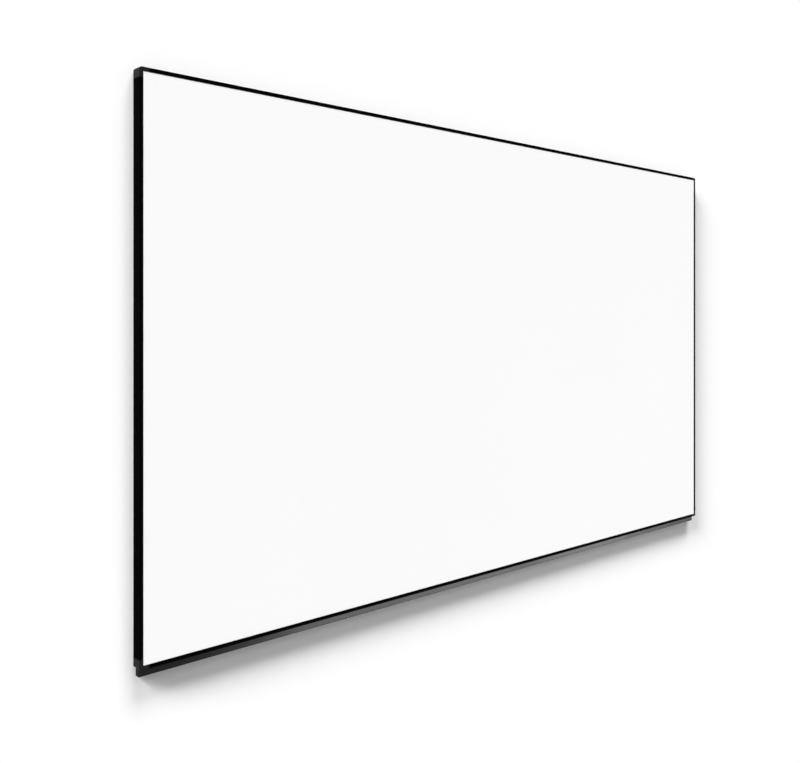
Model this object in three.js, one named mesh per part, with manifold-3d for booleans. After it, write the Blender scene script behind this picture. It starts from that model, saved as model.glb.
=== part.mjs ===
// Fixed-frame projector screen with a thin black bezel, 100 inch 16:9 picture, in millimetres.
// The wall is the plane y = 0 and the picture faces -Y. +X is the viewer's right and +Z is up.
// The origin is the middle of the back face of the centre wall bracket, where the screen hangs.
//
// Each side of the frame is drawn in the frame of its own edge of the picture:
// x runs along the edge, z points outward from the picture ("out") and y is the depth ("depth").

import * as THREE from 'three';
import { mergeVertices } from 'three/addons/utils/BufferGeometryUtils.js';
import Module from 'manifold-3d';

const wasm = await Module();
wasm.setup();

// Picture
const PICTURE_WIDTH = 2214;
const PICTURE_HEIGHT = 1245;

// Clearances
const FIT = 0.2;
const MITRE_GAP = 0.3;
const HOLE_CLEARANCE = 0.3;

// Bezel, a snap-on section with a front lip, a side wall and a bead that grips the rail
const BEZEL_WIDTH = 9;
const BEZEL_DEPTH = 28;
const BEZEL_WALL = 1.5;
const BEZEL_EDGE_RADIUS = 1.2;
const BEZEL_LIP_CHAMFER = 0.4;
const BEAD_HEIGHT = 1.3;
const BEAD_LAND = 0.9;
const BEAD_SLOPE = 1.6;
const WALL_GAP = 2;

// Corner caps
const CORNER_RADIUS = 6;
const CAP_ARM = 22;

// Picture sheet and its hem
const SHEET_THICKNESS = 0.4;
const SHEET_BEND = 1.4;
const SHEET_CORNER_NOTCH = 4;
const SHEET_UNDERLAP = 2;
const HEM_INSET = 12.2;
const HEM_CORNER_CLEARANCE = 80;
const HEM_NOTCH_WIDTH = 10;
const ROD_RADIUS = 2;
const ROD_END_GAP = 2;

// Frame rail, a hollow extrusion with a front ridge and a rear hook lip
const RAIL_WIDTH = 50;
const RAIL_DEPTH = 15;
const RAIL_WALL = 1.6;
const RIDGE_WIDTH = 5.5;
const RIDGE_HEIGHT = 4;
const NOSE_RADIUS = 1;
const LIP_INSET = 10;
const LIP_HEIGHT = 7;
const LIP_LENGTH = 8;

// Springs
const SPRING_RADIUS = 2.5;
const SPRING_BODY = 16;
const SPRING_NECK = 5.5;
const SPRING_RISE = 2;
const WIRE = 1;
const HALF_ROW_SPRINGS = 6;
const SIDE_ROW_SPRINGS = 7;
const FIRST_SPRING = 60;
const SPRING_HEM_MARGIN = 17;

// Joining plates on the backs of the rails
const PLATE_WIDTH = 20.5;
const PLATE_INSET = 16.2;
const PLATE_THICKNESS = 2;
const PLATE_CORNER = 2;
const CORNER_PLATE_REACH = 83;
const CORNER_SCREWS = [45, 70];
const SPLICE_LENGTH = 100;
const SPLICE_FIRST_SCREW = 15;
const SPLICE_END_MARGIN = 12;
const SPLICE_SCREWS = [SPLICE_FIRST_SCREW, SPLICE_LENGTH / 2 - SPLICE_END_MARGIN];
const BUMPER_RADIUS = 7;

// Screws
const HEAD_RADIUS = 3.5;
const HEAD_HEIGHT = 2.2;
const SHANK_RADIUS = 1.7;
const SHANK_REACH = 4;

// Centre support
const BAR_WIDTH = 20;
const BAR_DEPTH = 9;
const BAR_WALL = 1.2;
const FOOT_LENGTH = 80;
const FOOT_DEPTH = 10;
const FOOT_THICKNESS = 2;
const FOOT_PLUG = 25;
const FOOT_SCREW = 30;

// Wall brackets
const BRACKET_WIDTH = 60;
const BRACKET_HEIGHT = 36;
const BRACKET_THICKNESS = 2;
const BRACKET_BEND = 2;
const BRACKET_DROP = 2.2;
const BRACKET_HOLE_RADIUS = 2.75;
const BRACKET_HOLE_OFFSET = 18;
const BRACKET_BAY = 2.5;

// Lower trim, a channel under the bottom bezel
const TRIM_SETBACK = 12;
const TRIM_HEIGHT = 18;
const TRIM_WALL = 1.5;
const TRIM_BEND = 1.2;
const TRIM_BACK_GAP = 2.5;
const TRIM_END_INSET = 5;
const TRIM_END_WALL = 1.5;
const TRIM_END_PLUG = 8;
const TRIM_SCREWS = 4;
const TRIM_SCREW_FIRST = 70;
const TRIM_SCREW_END_MARGIN = 60;
const TRIM_SCREW_DEPTH = 7;
const TRIM_HEAD_RADIUS = 2.75;
const TRIM_HEAD_HEIGHT = 1.8;
const TRIM_SHANK_RADIUS = 1.3;
const TRIM_SHANK_REACH = 1.5;

// Faceting
const BEND_STEPS = 2;
const ROUND_SIDES = 8;
const ROD_SIDES = 6;
const CURVE_SEGMENTS = 3;
const CUT_OVERSHOOT = 1;

// Planes across the depth, from the front to the wall
const BEZEL_FRONT = -(WALL_GAP + BEZEL_DEPTH);
const BEZEL_BACK = -WALL_GAP;
const SHEET_FRONT = BEZEL_FRONT + BEZEL_WALL + FIT;
const SHEET_MIDDLE = SHEET_FRONT + SHEET_THICKNESS / 2;
const RIDGE_FRONT = SHEET_FRONT + SHEET_THICKNESS + FIT;
const RAIL_FRONT = RIDGE_FRONT + RIDGE_HEIGHT;
const RAIL_BACK = RIDGE_FRONT + RAIL_DEPTH;
const RAIL_MIDDLE = (RAIL_FRONT + RAIL_BACK) / 2;
const LIP_BACK = RAIL_BACK + LIP_HEIGHT;
const LIP_FRONT = LIP_BACK - RAIL_WALL;
const FLAP_MIDDLE = RAIL_BACK + FIT + SHEET_THICKNESS / 2;
const FLAP_BACK = FLAP_MIDDLE + SHEET_THICKNESS / 2;
const PLATE_FRONT = RAIL_BACK + FIT;
const PLATE_BACK = PLATE_FRONT + PLATE_THICKNESS;

// Planes going outward from the edge of the picture
const SHEET_OUT = BEZEL_WIDTH - BEZEL_WALL - FIT;
const SHEET_OUT_MIDDLE = SHEET_OUT - SHEET_THICKNESS / 2;
const RAIL_OUT = SHEET_OUT - SHEET_THICKNESS - FIT;
const RAIL_IN = RAIL_OUT - RAIL_WIDTH;
const LIP_WEB_IN = RAIL_IN + LIP_INSET;
const LIP_END = LIP_WEB_IN - LIP_LENGTH;
const HEM_OUT = RAIL_OUT - HEM_INSET;
const PLATE_MIDDLE_OUT = RAIL_OUT - PLATE_INSET - PLATE_WIDTH / 2;

// Hem sleeve around its rod
const SLEEVE_INNER = ROD_RADIUS + FIT;
const SLEEVE_OUTER = SLEEVE_INNER + SHEET_THICKNESS;
const ROD_DEPTH = RAIL_BACK + FIT + SLEEVE_OUTER;

// Stations along the edges
const HALF_WIDTH = PICTURE_WIDTH / 2;
const HALF_HEIGHT = PICTURE_HEIGHT / 2;
const CAP_END = CAP_ARM - BEZEL_WIDTH;
const HALF_HEM_END = HALF_WIDTH - HEM_CORNER_CLEARANCE;
const SIDE_HEM_END = HALF_HEIGHT - HEM_CORNER_CLEARANCE;
const HALF_LAST_SPRING = HALF_HEM_END - SPRING_HEM_MARGIN;
const SIDE_LAST_SPRING = SIDE_HEM_END - SPRING_HEM_MARGIN;
const HALF_PITCH = (HALF_LAST_SPRING - FIRST_SPRING) / (HALF_ROW_SPRINGS - 1);
const SIDE_PITCH = (2 * SIDE_LAST_SPRING) / (SIDE_ROW_SPRINGS - 1);
const SIDE_BRACKET_X = FIRST_SPRING + BRACKET_BAY * HALF_PITCH;

// The wall bracket and the height of the picture above the origin
const BRACKET_LIP_MIDDLE = LIP_FRONT - FIT - BRACKET_THICKNESS / 2;
const BRACKET_SHELF = LIP_END - BRACKET_DROP - BRACKET_THICKNESS / 2;
const BRACKET_PLATE_MIDDLE = -BRACKET_THICKNESS / 2;
const BRACKET_END = BRACKET_SHELF - BRACKET_HEIGHT;
const BRACKET_CENTRE = BRACKET_SHELF - BRACKET_HEIGHT / 2;
const PICTURE_TOP = -BRACKET_CENTRE;
const PICTURE_BOTTOM = PICTURE_TOP - PICTURE_HEIGHT;
const PICTURE_CENTRE = (PICTURE_TOP + PICTURE_BOTTOM) / 2;

// Finishes
const finish = (color, roughness, metalness) => new THREE.MeshStandardMaterial({ color, roughness, metalness });
const FINISHES = {
  sheet: finish(0xf4f4f2, 0.85, 0),
  bezel: finish(0x0b0b0c, 0.6, 0.2),
  cap: finish(0x202022, 0.55, 0),
  lowerTrim: finish(0x3c3d3f, 0.45, 0.3),
  trimEnd: finish(0x28292b, 0.55, 0),
  rail: finish(0x8d9093, 0.4, 0.9),
  plate: finish(0x9a9c9e, 0.35, 0.9),
  screw: finish(0x6f7174, 0.35, 0.9),
  bracket: finish(0x1a1b1d, 0.5, 0.4),
  spring: finish(0xb4b6b8, 0.3, 0.9),
  bar: finish(0x17181a, 0.5, 0.4),
  foot: finish(0x141415, 0.6, 0),
  bumper: finish(0x101010, 0.9, 0),
};

// Solids

function solidOf(geometry) {
  const bare = geometry.clone();
  bare.deleteAttribute('normal');
  bare.deleteAttribute('uv');
  const merged = mergeVertices(bare, 1e-4);
  return new wasm.Manifold(new wasm.Mesh({
    numProp: 3,
    vertProperties: new Float32Array(merged.getAttribute('position').array),
    triVerts: new Uint32Array(merged.getIndex().array),
  }));
}

function geometryOf(solid) {
  const mesh = solid.getMesh();
  const indexed = new THREE.BufferGeometry();
  indexed.setAttribute('position', new THREE.BufferAttribute(mesh.vertProperties, 3));
  indexed.setIndex(new THREE.BufferAttribute(mesh.triVerts, 1));
  const geometry = indexed.toNonIndexed();
  geometry.computeVertexNormals();
  return geometry;
}

function joined(geometries) {
  const [first, ...others] = geometries.map(solidOf);
  return geometryOf(others.reduce((whole, next) => whole.add(next), first));
}

function cut(geometry, cutters) {
  return geometryOf(cutters.map(solidOf).reduce((left, cutter) => left.subtract(cutter), solidOf(geometry)));
}

// Sections and blanks

function roundedLine(points, radius, closed) {
  const line = [];
  points.forEach((point, i) => {
    const before = points[(i + points.length - 1) % points.length];
    const after = points[(i + 1) % points.length];
    const isEnd = !closed && (i === 0 || i === points.length - 1);
    const bend = Array.isArray(radius) ? radius[i] : radius;
    if (isEnd || !bend) {
      line.push(point.clone());
      return;
    }
    const start = point.clone().add(before.clone().sub(point).setLength(bend));
    const end = point.clone().add(after.clone().sub(point).setLength(bend));
    line.push(...new THREE.QuadraticBezierCurve(start, point, end).getPoints(BEND_STEPS));
  });
  return line;
}

const vectors = (pairs) => pairs.map(([x, y]) => new THREE.Vector2(x, y));

const outline = (pairs, radius = 0) => new THREE.Shape(roundedLine(vectors(pairs), radius, true));

// A section of even thickness that follows a bent middle line.
function folded(pairs, thickness, bend) {
  const line = roundedLine(vectors(pairs), bend, false);
  const sides = [[], []];
  line.forEach((point, i) => {
    const incoming = point.clone().sub(line[Math.max(i - 1, 0)]).normalize();
    const outgoing = line[Math.min(i + 1, line.length - 1)].clone().sub(point).normalize();
    const heading = incoming.clone().add(outgoing).normalize();
    const reference = i === 0 ? outgoing : incoming;
    const reach = thickness / 2 / heading.dot(reference);
    const normal = new THREE.Vector2(-heading.y, heading.x).multiplyScalar(reach);
    sides[0].push(point.clone().add(normal));
    sides[1].unshift(point.clone().sub(normal));
  });
  return new THREE.Shape([...sides[0], ...sides[1]]);
}

// Runs an (out, depth) section along the edge. A mitred end follows the 45 degree line of its corner.
function run(section, from, to, mitreFrom = false, mitreTo = false) {
  const geometry = new THREE.ExtrudeGeometry(section, { depth: to - from, bevelEnabled: false });
  geometry.rotateY(-Math.PI / 2);
  geometry.translate(to, 0, 0);
  const position = geometry.getAttribute('position');
  const middle = (from + to) / 2;
  for (let i = 0; i < position.count; i += 1) {
    const x = position.getX(i);
    const out = position.getZ(i);
    if (mitreTo && x > middle) position.setX(i, x + out - MITRE_GAP / 2);
    if (mitreFrom && x < middle) position.setX(i, x - out + MITRE_GAP / 2);
  }
  return geometry;
}

// A plate whose outline lies in the plane of the picture, between two depths.
function slab(shape, front, back) {
  const geometry = new THREE.ExtrudeGeometry(shape, {
    depth: back - front,
    bevelEnabled: false,
    curveSegments: CURVE_SEGMENTS,
  });
  geometry.rotateX(Math.PI / 2);
  geometry.translate(0, back, 0);
  return geometry;
}

function block(x, depth, out) {
  const geometry = new THREE.BoxGeometry(x[1] - x[0], depth[1] - depth[0], out[1] - out[0]);
  geometry.translate((x[0] + x[1]) / 2, (depth[0] + depth[1]) / 2, (out[0] + out[1]) / 2);
  return geometry;
}

// A round bar along the edge, along the depth or outward, between two stations.
function barAlong(radius, from, to, depth, out, sides = ROD_SIDES) {
  const geometry = new THREE.CylinderGeometry(radius, radius, to - from, sides);
  geometry.rotateZ(Math.PI / 2);
  geometry.translate((from + to) / 2, depth, out);
  return geometry;
}

function barDeep(radius, x, out, front, back, sides = ROUND_SIDES) {
  const geometry = new THREE.CylinderGeometry(radius, radius, back - front, sides);
  geometry.translate(x, (front + back) / 2, out);
  return geometry;
}

function barOut(radius, x, depth, inner, outer, sides = ROUND_SIDES) {
  const geometry = new THREE.CylinderGeometry(radius, radius, outer - inner, sides);
  geometry.rotateX(Math.PI / 2);
  geometry.translate(x, depth, (inner + outer) / 2);
  return geometry;
}

// A pan-head screw along +Y: its seat is at y = 0, the shank goes to -Y and the head stands on +Y.
function screwBlank(shankLength) {
  const profile = vectors([
    [0, -shankLength],
    [SHANK_RADIUS, -shankLength],
    [SHANK_RADIUS, 0],
    [HEAD_RADIUS, 0],
    [HEAD_RADIUS, HEAD_HEIGHT],
    [0, HEAD_HEIGHT],
  ]);
  return new THREE.LatheGeometry(profile, ROUND_SIDES);
}

const evenly = (count, first, pitch) => Array.from({ length: count }, (_, i) => first + i * pitch);

// Frame rails

function railSection() {
  const section = outline(
    [
      [RAIL_OUT - RIDGE_WIDTH, RIDGE_FRONT],
      [RAIL_OUT, RIDGE_FRONT],
      [RAIL_OUT, RAIL_BACK],
      [LIP_WEB_IN + RAIL_WALL, RAIL_BACK],
      [LIP_WEB_IN + RAIL_WALL, LIP_BACK],
      [LIP_END, LIP_BACK],
      [LIP_END, LIP_FRONT],
      [LIP_WEB_IN, LIP_FRONT],
      [LIP_WEB_IN, RAIL_BACK],
      [RAIL_IN, RAIL_BACK],
      [RAIL_IN, RAIL_FRONT],
      [RAIL_OUT - RIDGE_WIDTH, RAIL_FRONT],
    ],
    [0, NOSE_RADIUS, NOSE_RADIUS, 0, 0, 0, 0, 0, 0, 0, 0, 0],
  );
  const hollow = vectors([
    [RAIL_OUT - RIDGE_WIDTH + RAIL_WALL, RIDGE_FRONT + RAIL_WALL],
    [RAIL_OUT - RIDGE_WIDTH + RAIL_WALL, RAIL_FRONT + RAIL_WALL],
    [RAIL_IN + RAIL_WALL, RAIL_FRONT + RAIL_WALL],
    [RAIL_IN + RAIL_WALL, RAIL_BACK - RAIL_WALL],
    [RAIL_OUT - RAIL_WALL, RAIL_BACK - RAIL_WALL],
    [RAIL_OUT - RAIL_WALL, RIDGE_FRONT + RAIL_WALL],
  ]);
  section.holes.push(new THREE.Path(hollow));
  return section;
}

// The outer corner of a mitred rail is rounded on the same centre as the corner cap.
function cornerTrimmer(end) {
  const centre = BEZEL_WIDTH - CORNER_RADIUS;
  const radius = RAIL_OUT - centre;
  const reach = RAIL_OUT + CUT_OVERSHOOT;
  const waste = new THREE.Shape();
  waste.moveTo(end + centre, RAIL_OUT);
  waste.absarc(end + centre, centre, radius, Math.PI / 2, 0, true);
  waste.lineTo(end + reach, centre);
  waste.lineTo(end + reach, reach);
  waste.lineTo(end + centre, reach);
  const geometry = new THREE.ExtrudeGeometry(waste, {
    depth: BEZEL_DEPTH,
    bevelEnabled: false,
    curveSegments: CURVE_SEGMENTS,
  });
  geometry.rotateX(Math.PI / 2);
  geometry.translate(0, BEZEL_BACK, 0);
  return geometry;
}

const mirroredX = (geometry) => {
  const copy = geometryOf(solidOf(geometry).mirror([1, 0, 0]));
  return copy;
};

const plateHole = (x) =>
  barDeep(
    SHANK_RADIUS + HOLE_CLEARANCE,
    x,
    PLATE_MIDDLE_OUT,
    RAIL_BACK - RAIL_WALL - CUT_OVERSHOOT,
    RAIL_BACK + CUT_OVERSHOOT,
  );

// The half rail that runs from the middle joint towards +x.
function halfRail() {
  const blank = run(railSection(), FIT / 2, HALF_WIDTH, false, true);
  const footHole = barOut(
    SHANK_RADIUS + HOLE_CLEARANCE,
    FOOT_SCREW,
    RAIL_MIDDLE,
    RAIL_IN - CUT_OVERSHOOT,
    RAIL_IN + RAIL_WALL + CUT_OVERSHOOT,
  );
  const cornerHoles = CORNER_SCREWS.map((reach) => plateHole(HALF_WIDTH - reach));
  return cut(blank, [cornerTrimmer(HALF_WIDTH), footHole, ...SPLICE_SCREWS.map(plateHole), ...cornerHoles]);
}

function sideRail() {
  const blank = run(railSection(), -HALF_HEIGHT, HALF_HEIGHT, true, true);
  const end = cornerTrimmer(HALF_HEIGHT);
  const otherEnd = mirroredX(end);
  const holes = CORNER_SCREWS.flatMap((reach) => [plateHole(HALF_HEIGHT - reach), plateHole(reach - HALF_HEIGHT)]);
  return cut(blank, [end, otherEnd, ...holes]);
}

// Bezels and corner caps

function bezelSection() {
  const wallInner = BEZEL_WIDTH - BEZEL_WALL;
  const beadFront = FLAP_BACK + FIT;
  const beadBack = beadFront + BEAD_LAND;
  return outline(
    [
      [BEZEL_LIP_CHAMFER, BEZEL_FRONT],
      [BEZEL_WIDTH, BEZEL_FRONT],
      [BEZEL_WIDTH, BEZEL_BACK],
      [wallInner, BEZEL_BACK],
      [wallInner, beadBack + BEAD_SLOPE],
      [wallInner - BEAD_HEIGHT, beadBack],
      [wallInner - BEAD_HEIGHT, beadFront],
      [wallInner, beadFront],
      [wallInner, BEZEL_FRONT + BEZEL_WALL],
      [0, BEZEL_FRONT + BEZEL_WALL],
      [0, BEZEL_FRONT + BEZEL_LIP_CHAMFER],
    ],
    [0, BEZEL_EDGE_RADIUS, 0, 0, 0, 0, 0, 0, 0, 0, 0],
  );
}

const trimScrewStations = () => {
  const last = HALF_WIDTH - TRIM_SCREW_END_MARGIN;
  return evenly(TRIM_SCREWS, TRIM_SCREW_FIRST, (last - TRIM_SCREW_FIRST) / (TRIM_SCREWS - 1));
};

const halfBezel = () => run(bezelSection(), FIT / 2, HALF_WIDTH - CAP_END - FIT);

const sideBezel = () => run(bezelSection(), CAP_END + FIT - HALF_HEIGHT, HALF_HEIGHT - CAP_END - FIT);

function drilledHalfBezel() {
  const holes = trimScrewStations().map((x) =>
    barOut(
      TRIM_SHANK_RADIUS + HOLE_CLEARANCE,
      x,
      -TRIM_SCREW_DEPTH,
      BEZEL_WIDTH - BEZEL_WALL - CUT_OVERSHOOT,
      BEZEL_WIDTH + CUT_OVERSHOOT,
      ROD_SIDES,
    ),
  );
  return cut(halfBezel(), holes);
}

// A band round the corner between two offsets from the picture's corner, with concentric rounding.
function cornerBand(inner, outer) {
  const centre = BEZEL_WIDTH - CORNER_RADIUS;
  const band = new THREE.Shape();
  band.moveTo(outer, -CAP_END);
  band.absarc(centre, centre, outer - centre, 0, Math.PI / 2, false);
  band.lineTo(-CAP_END, outer);
  band.lineTo(-CAP_END, inner);
  if (inner > centre) band.absarc(centre, centre, inner - centre, Math.PI / 2, 0, true);
  else band.lineTo(inner, inner);
  band.lineTo(inner, -CAP_END);
  return band;
}

function cornerCap() {
  const wallInner = BEZEL_WIDTH - BEZEL_WALL;
  const beadFront = FLAP_BACK + FIT;
  const face = slab(cornerBand(0, BEZEL_WIDTH), BEZEL_FRONT, BEZEL_FRONT + BEZEL_WALL);
  const wall = slab(cornerBand(wallInner, BEZEL_WIDTH), BEZEL_FRONT, BEZEL_BACK);
  const bead = slab(cornerBand(wallInner - BEAD_HEIGHT, BEZEL_WIDTH), beadFront, beadFront + BEAD_LAND);
  return joined([face, wall, bead]);
}

// Picture sheet: a flat front, four flaps round the rails and a sleeve for each rod

function sheetFlap(halfLength, hemEnd, springStations) {
  const side = folded(
    [
      [0, SHEET_MIDDLE],
      [SHEET_OUT_MIDDLE, SHEET_MIDDLE],
      [SHEET_OUT_MIDDLE, RAIL_BACK - NOSE_RADIUS],
    ],
    SHEET_THICKNESS,
    SHEET_BEND,
  );
  const wrap = folded(
    [
      [0, SHEET_MIDDLE],
      [SHEET_OUT_MIDDLE, SHEET_MIDDLE],
      [SHEET_OUT_MIDDLE, FLAP_MIDDLE],
      [HEM_OUT, FLAP_MIDDLE],
    ],
    SHEET_THICKNESS,
    SHEET_BEND,
  );
  const sleeve = new THREE.Shape();
  sleeve.absarc(HEM_OUT, ROD_DEPTH, SLEEVE_OUTER, 0, 2 * Math.PI, false);
  const bore = new THREE.Path();
  bore.absarc(HEM_OUT, ROD_DEPTH, SLEEVE_INNER, 0, 2 * Math.PI, true);
  sleeve.holes.push(bore);
  const ring = new THREE.ExtrudeGeometry(sleeve, {
    depth: 2 * hemEnd,
    bevelEnabled: false,
    curveSegments: CURVE_SEGMENTS,
  });
  ring.rotateY(-Math.PI / 2);
  ring.translate(hemEnd, 0, 0);
  const flap = joined([
    run(side, SHEET_CORNER_NOTCH - halfLength, halfLength - SHEET_CORNER_NOTCH),
    run(wrap, -hemEnd, hemEnd),
    ring,
  ]);
  const notches = springStations.map((x) =>
    block(
      [x - HEM_NOTCH_WIDTH / 2, x + HEM_NOTCH_WIDTH / 2],
      [RAIL_BACK - CUT_OVERSHOOT, ROD_DEPTH + SLEEVE_OUTER + CUT_OVERSHOOT],
      [HEM_OUT - SLEEVE_OUTER - CUT_OVERSHOOT, HEM_OUT + SLEEVE_OUTER + CUT_OVERSHOOT],
    ),
  );
  return cut(flap, notches);
}

const halfSprings = evenly(HALF_ROW_SPRINGS, FIRST_SPRING, HALF_PITCH);
const sideSprings = evenly(SIDE_ROW_SPRINGS, -SIDE_LAST_SPRING, SIDE_PITCH);

function pictureSheet() {
  const front = block(
    [-HALF_WIDTH - SHEET_UNDERLAP, HALF_WIDTH + SHEET_UNDERLAP],
    [SHEET_FRONT, SHEET_FRONT + SHEET_THICKNESS],
    [PICTURE_BOTTOM - SHEET_UNDERLAP, PICTURE_TOP + SHEET_UNDERLAP],
  );
  const longFlap = sheetFlap(HALF_WIDTH, HALF_HEM_END, [...halfSprings, ...halfSprings.map((x) => -x)]);
  const shortFlap = sheetFlap(HALF_HEIGHT, SIDE_HEM_END, sideSprings);
  const flaps = Object.entries(EDGES).map(([name, edge]) => {
    const flap = name === 'top' || name === 'bottom' ? longFlap : shortFlap;
    return flap.clone().applyMatrix4(edge.matrix);
  });
  return joined([front, ...flaps]);
}

// Tension rows: a rod with its springs hooked to the rail's lip

function springHook() {
  const bodyEnd = HEM_OUT - SPRING_NECK - SPRING_BODY;
  const over = LIP_BACK + FIT + WIRE / 2;
  const past = LIP_END - FIT - WIRE / 2;
  const under = LIP_FRONT - FIT - WIRE / 2;
  return folded(
    [
      [HEM_OUT, ROD_DEPTH],
      [bodyEnd - WIRE, ROD_DEPTH],
      [bodyEnd - WIRE - SPRING_RISE, over],
      [past, over],
      [past, under],
    ],
    WIRE,
    0,
  );
}

function tensionRow(from, to, stations) {
  const bodyStart = HEM_OUT - SPRING_NECK;
  const rod = barAlong(ROD_RADIUS, from, to, ROD_DEPTH, HEM_OUT);
  const springs = stations.flatMap((x) => [
    run(springHook(), x - WIRE / 2, x + WIRE / 2),
    barOut(SPRING_RADIUS, x, ROD_DEPTH, bodyStart - SPRING_BODY, bodyStart, ROD_SIDES),
  ]);
  return joined([rod, ...springs]);
}

// Joining plates

function cornerPlate() {
  const near = PLATE_MIDDLE_OUT + PLATE_WIDTH / 2;
  const far = PLATE_MIDDLE_OUT - PLATE_WIDTH / 2;
  const end = -CORNER_PLATE_REACH;
  const shape = outline(
    [[near, near], [near, end], [far, end], [far, far], [end, far], [end, near]],
    PLATE_CORNER,
  );
  const shankLength = PLATE_THICKNESS + FIT + RAIL_WALL + SHANK_REACH;
  const screws = CORNER_SCREWS.flatMap((reach) => [
    screwBlank(shankLength).translate(-reach, PLATE_BACK, PLATE_MIDDLE_OUT),
    screwBlank(shankLength).translate(PLATE_MIDDLE_OUT, PLATE_BACK, -reach),
  ]);
  return joined([slab(shape, PLATE_FRONT, PLATE_BACK), ...screws]);
}

function splicePlate() {
  const half = SPLICE_LENGTH / 2;
  const near = PLATE_MIDDLE_OUT + PLATE_WIDTH / 2;
  const far = PLATE_MIDDLE_OUT - PLATE_WIDTH / 2;
  const shape = outline([[half, near], [half, far], [-half, far], [-half, near]], PLATE_CORNER);
  const holes = SPLICE_SCREWS.flatMap((x) => [x, -x]).map((x) =>
    barDeep(
      SHANK_RADIUS + HOLE_CLEARANCE,
      x,
      PLATE_MIDDLE_OUT,
      PLATE_FRONT - CUT_OVERSHOOT,
      PLATE_BACK + CUT_OVERSHOOT,
    ),
  );
  return cut(slab(shape, PLATE_FRONT, PLATE_BACK), holes);
}

const spliceScrew = () => screwBlank(FIT + PLATE_THICKNESS + FIT + RAIL_WALL + SHANK_REACH);

const bumper = () =>
  new THREE.CylinderGeometry(BUMPER_RADIUS, BUMPER_RADIUS, -(PLATE_BACK + FIT), 2 * ROUND_SIDES)
    .translate(PLATE_MIDDLE_OUT, (PLATE_BACK + FIT) / 2, PLATE_MIDDLE_OUT);

// Centre support

const FOOT_OUT = RAIL_IN - FIT;

function supportFoot() {
  const plate = block(
    [-FOOT_LENGTH / 2, FOOT_LENGTH / 2],
    [RAIL_MIDDLE - FOOT_DEPTH / 2, RAIL_MIDDLE + FOOT_DEPTH / 2],
    [FOOT_OUT - FOOT_THICKNESS, FOOT_OUT],
  );
  const plugWidth = BAR_WIDTH - 2 * BAR_WALL - 2 * FIT;
  const plugDepth = BAR_DEPTH - 2 * BAR_WALL - 2 * FIT;
  const plug = block(
    [-plugWidth / 2, plugWidth / 2],
    [RAIL_MIDDLE - plugDepth / 2, RAIL_MIDDLE + plugDepth / 2],
    [FOOT_OUT - FOOT_THICKNESS - FOOT_PLUG, FOOT_OUT],
  );
  const holes = [-FOOT_SCREW, FOOT_SCREW].map((x) =>
    barOut(
      SHANK_RADIUS + HOLE_CLEARANCE,
      x,
      RAIL_MIDDLE,
      FOOT_OUT - FOOT_THICKNESS - CUT_OVERSHOOT,
      FOOT_OUT + CUT_OVERSHOOT,
    ),
  );
  return cut(joined([plate, plug]), holes);
}

// Seat at z = 0 with the head towards -z, for the feet's screws.
const footScrew = () => screwBlank(FIT + FOOT_THICKNESS + FIT + RAIL_WALL + SHANK_REACH).rotateX(-Math.PI / 2);

function supportBar() {
  const reach = HALF_HEIGHT + FOOT_OUT - FOOT_THICKNESS - FIT;
  const tube = (inset, radius, halfLength) => {
    const x = BAR_WIDTH / 2 - inset;
    const y = BAR_DEPTH / 2 - inset;
    const section = outline([[-x, -y], [x, -y], [x, y], [-x, y]], radius);
    return new THREE.ExtrudeGeometry(section, { depth: 2 * halfLength, bevelEnabled: false })
      .translate(0, RAIL_MIDDLE, -halfLength);
  };
  return cut(tube(0, BAR_WALL, reach), [tube(BAR_WALL, 0, reach + CUT_OVERSHOOT)]);
}

// Wall brackets

function wallBracket() {
  const section = folded(
    [
      [LIP_WEB_IN - FIT, BRACKET_LIP_MIDDLE],
      [BRACKET_SHELF, BRACKET_LIP_MIDDLE],
      [BRACKET_SHELF, BRACKET_PLATE_MIDDLE],
      [BRACKET_END, BRACKET_PLATE_MIDDLE],
    ],
    BRACKET_THICKNESS,
    BRACKET_BEND,
  );
  const holes = [-BRACKET_HOLE_OFFSET, BRACKET_HOLE_OFFSET].map((x) =>
    barDeep(BRACKET_HOLE_RADIUS, x, BRACKET_CENTRE, -BRACKET_THICKNESS - CUT_OVERSHOOT, CUT_OVERSHOOT),
  );
  return cut(run(section, -BRACKET_WIDTH / 2, BRACKET_WIDTH / 2), holes);
}

// Lower trim

const TRIM_TOP = BEZEL_WIDTH + FIT;
const TRIM_BOTTOM = TRIM_TOP + TRIM_HEIGHT;
const TRIM_FRONT = BEZEL_FRONT + TRIM_SETBACK;
const TRIM_LENGTH = HALF_WIDTH + BEZEL_WIDTH - TRIM_END_INSET - TRIM_END_WALL - FIT;

function lowerTrim() {
  const top = TRIM_TOP + TRIM_WALL / 2;
  const bottom = TRIM_BOTTOM - TRIM_WALL / 2;
  const web = TRIM_FRONT + TRIM_WALL / 2;
  const section = folded(
    [[top, -TRIM_BACK_GAP], [top, web], [bottom, web], [bottom, -TRIM_BACK_GAP]],
    TRIM_WALL,
    TRIM_BEND,
  );
  const headFrom = TRIM_TOP + TRIM_WALL;
  const shankTip = BEZEL_WIDTH - BEZEL_WALL - TRIM_SHANK_REACH;
  const screws = trimScrewStations().flatMap((x) => [
    barOut(TRIM_HEAD_RADIUS, x, -TRIM_SCREW_DEPTH, TRIM_TOP, headFrom + TRIM_HEAD_HEIGHT, ROD_SIDES),
    barOut(TRIM_SHANK_RADIUS, x, -TRIM_SCREW_DEPTH, shankTip, headFrom, ROD_SIDES),
  ]);
  return joined([run(section, FIT / 2, TRIM_LENGTH), ...screws]);
}

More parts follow.
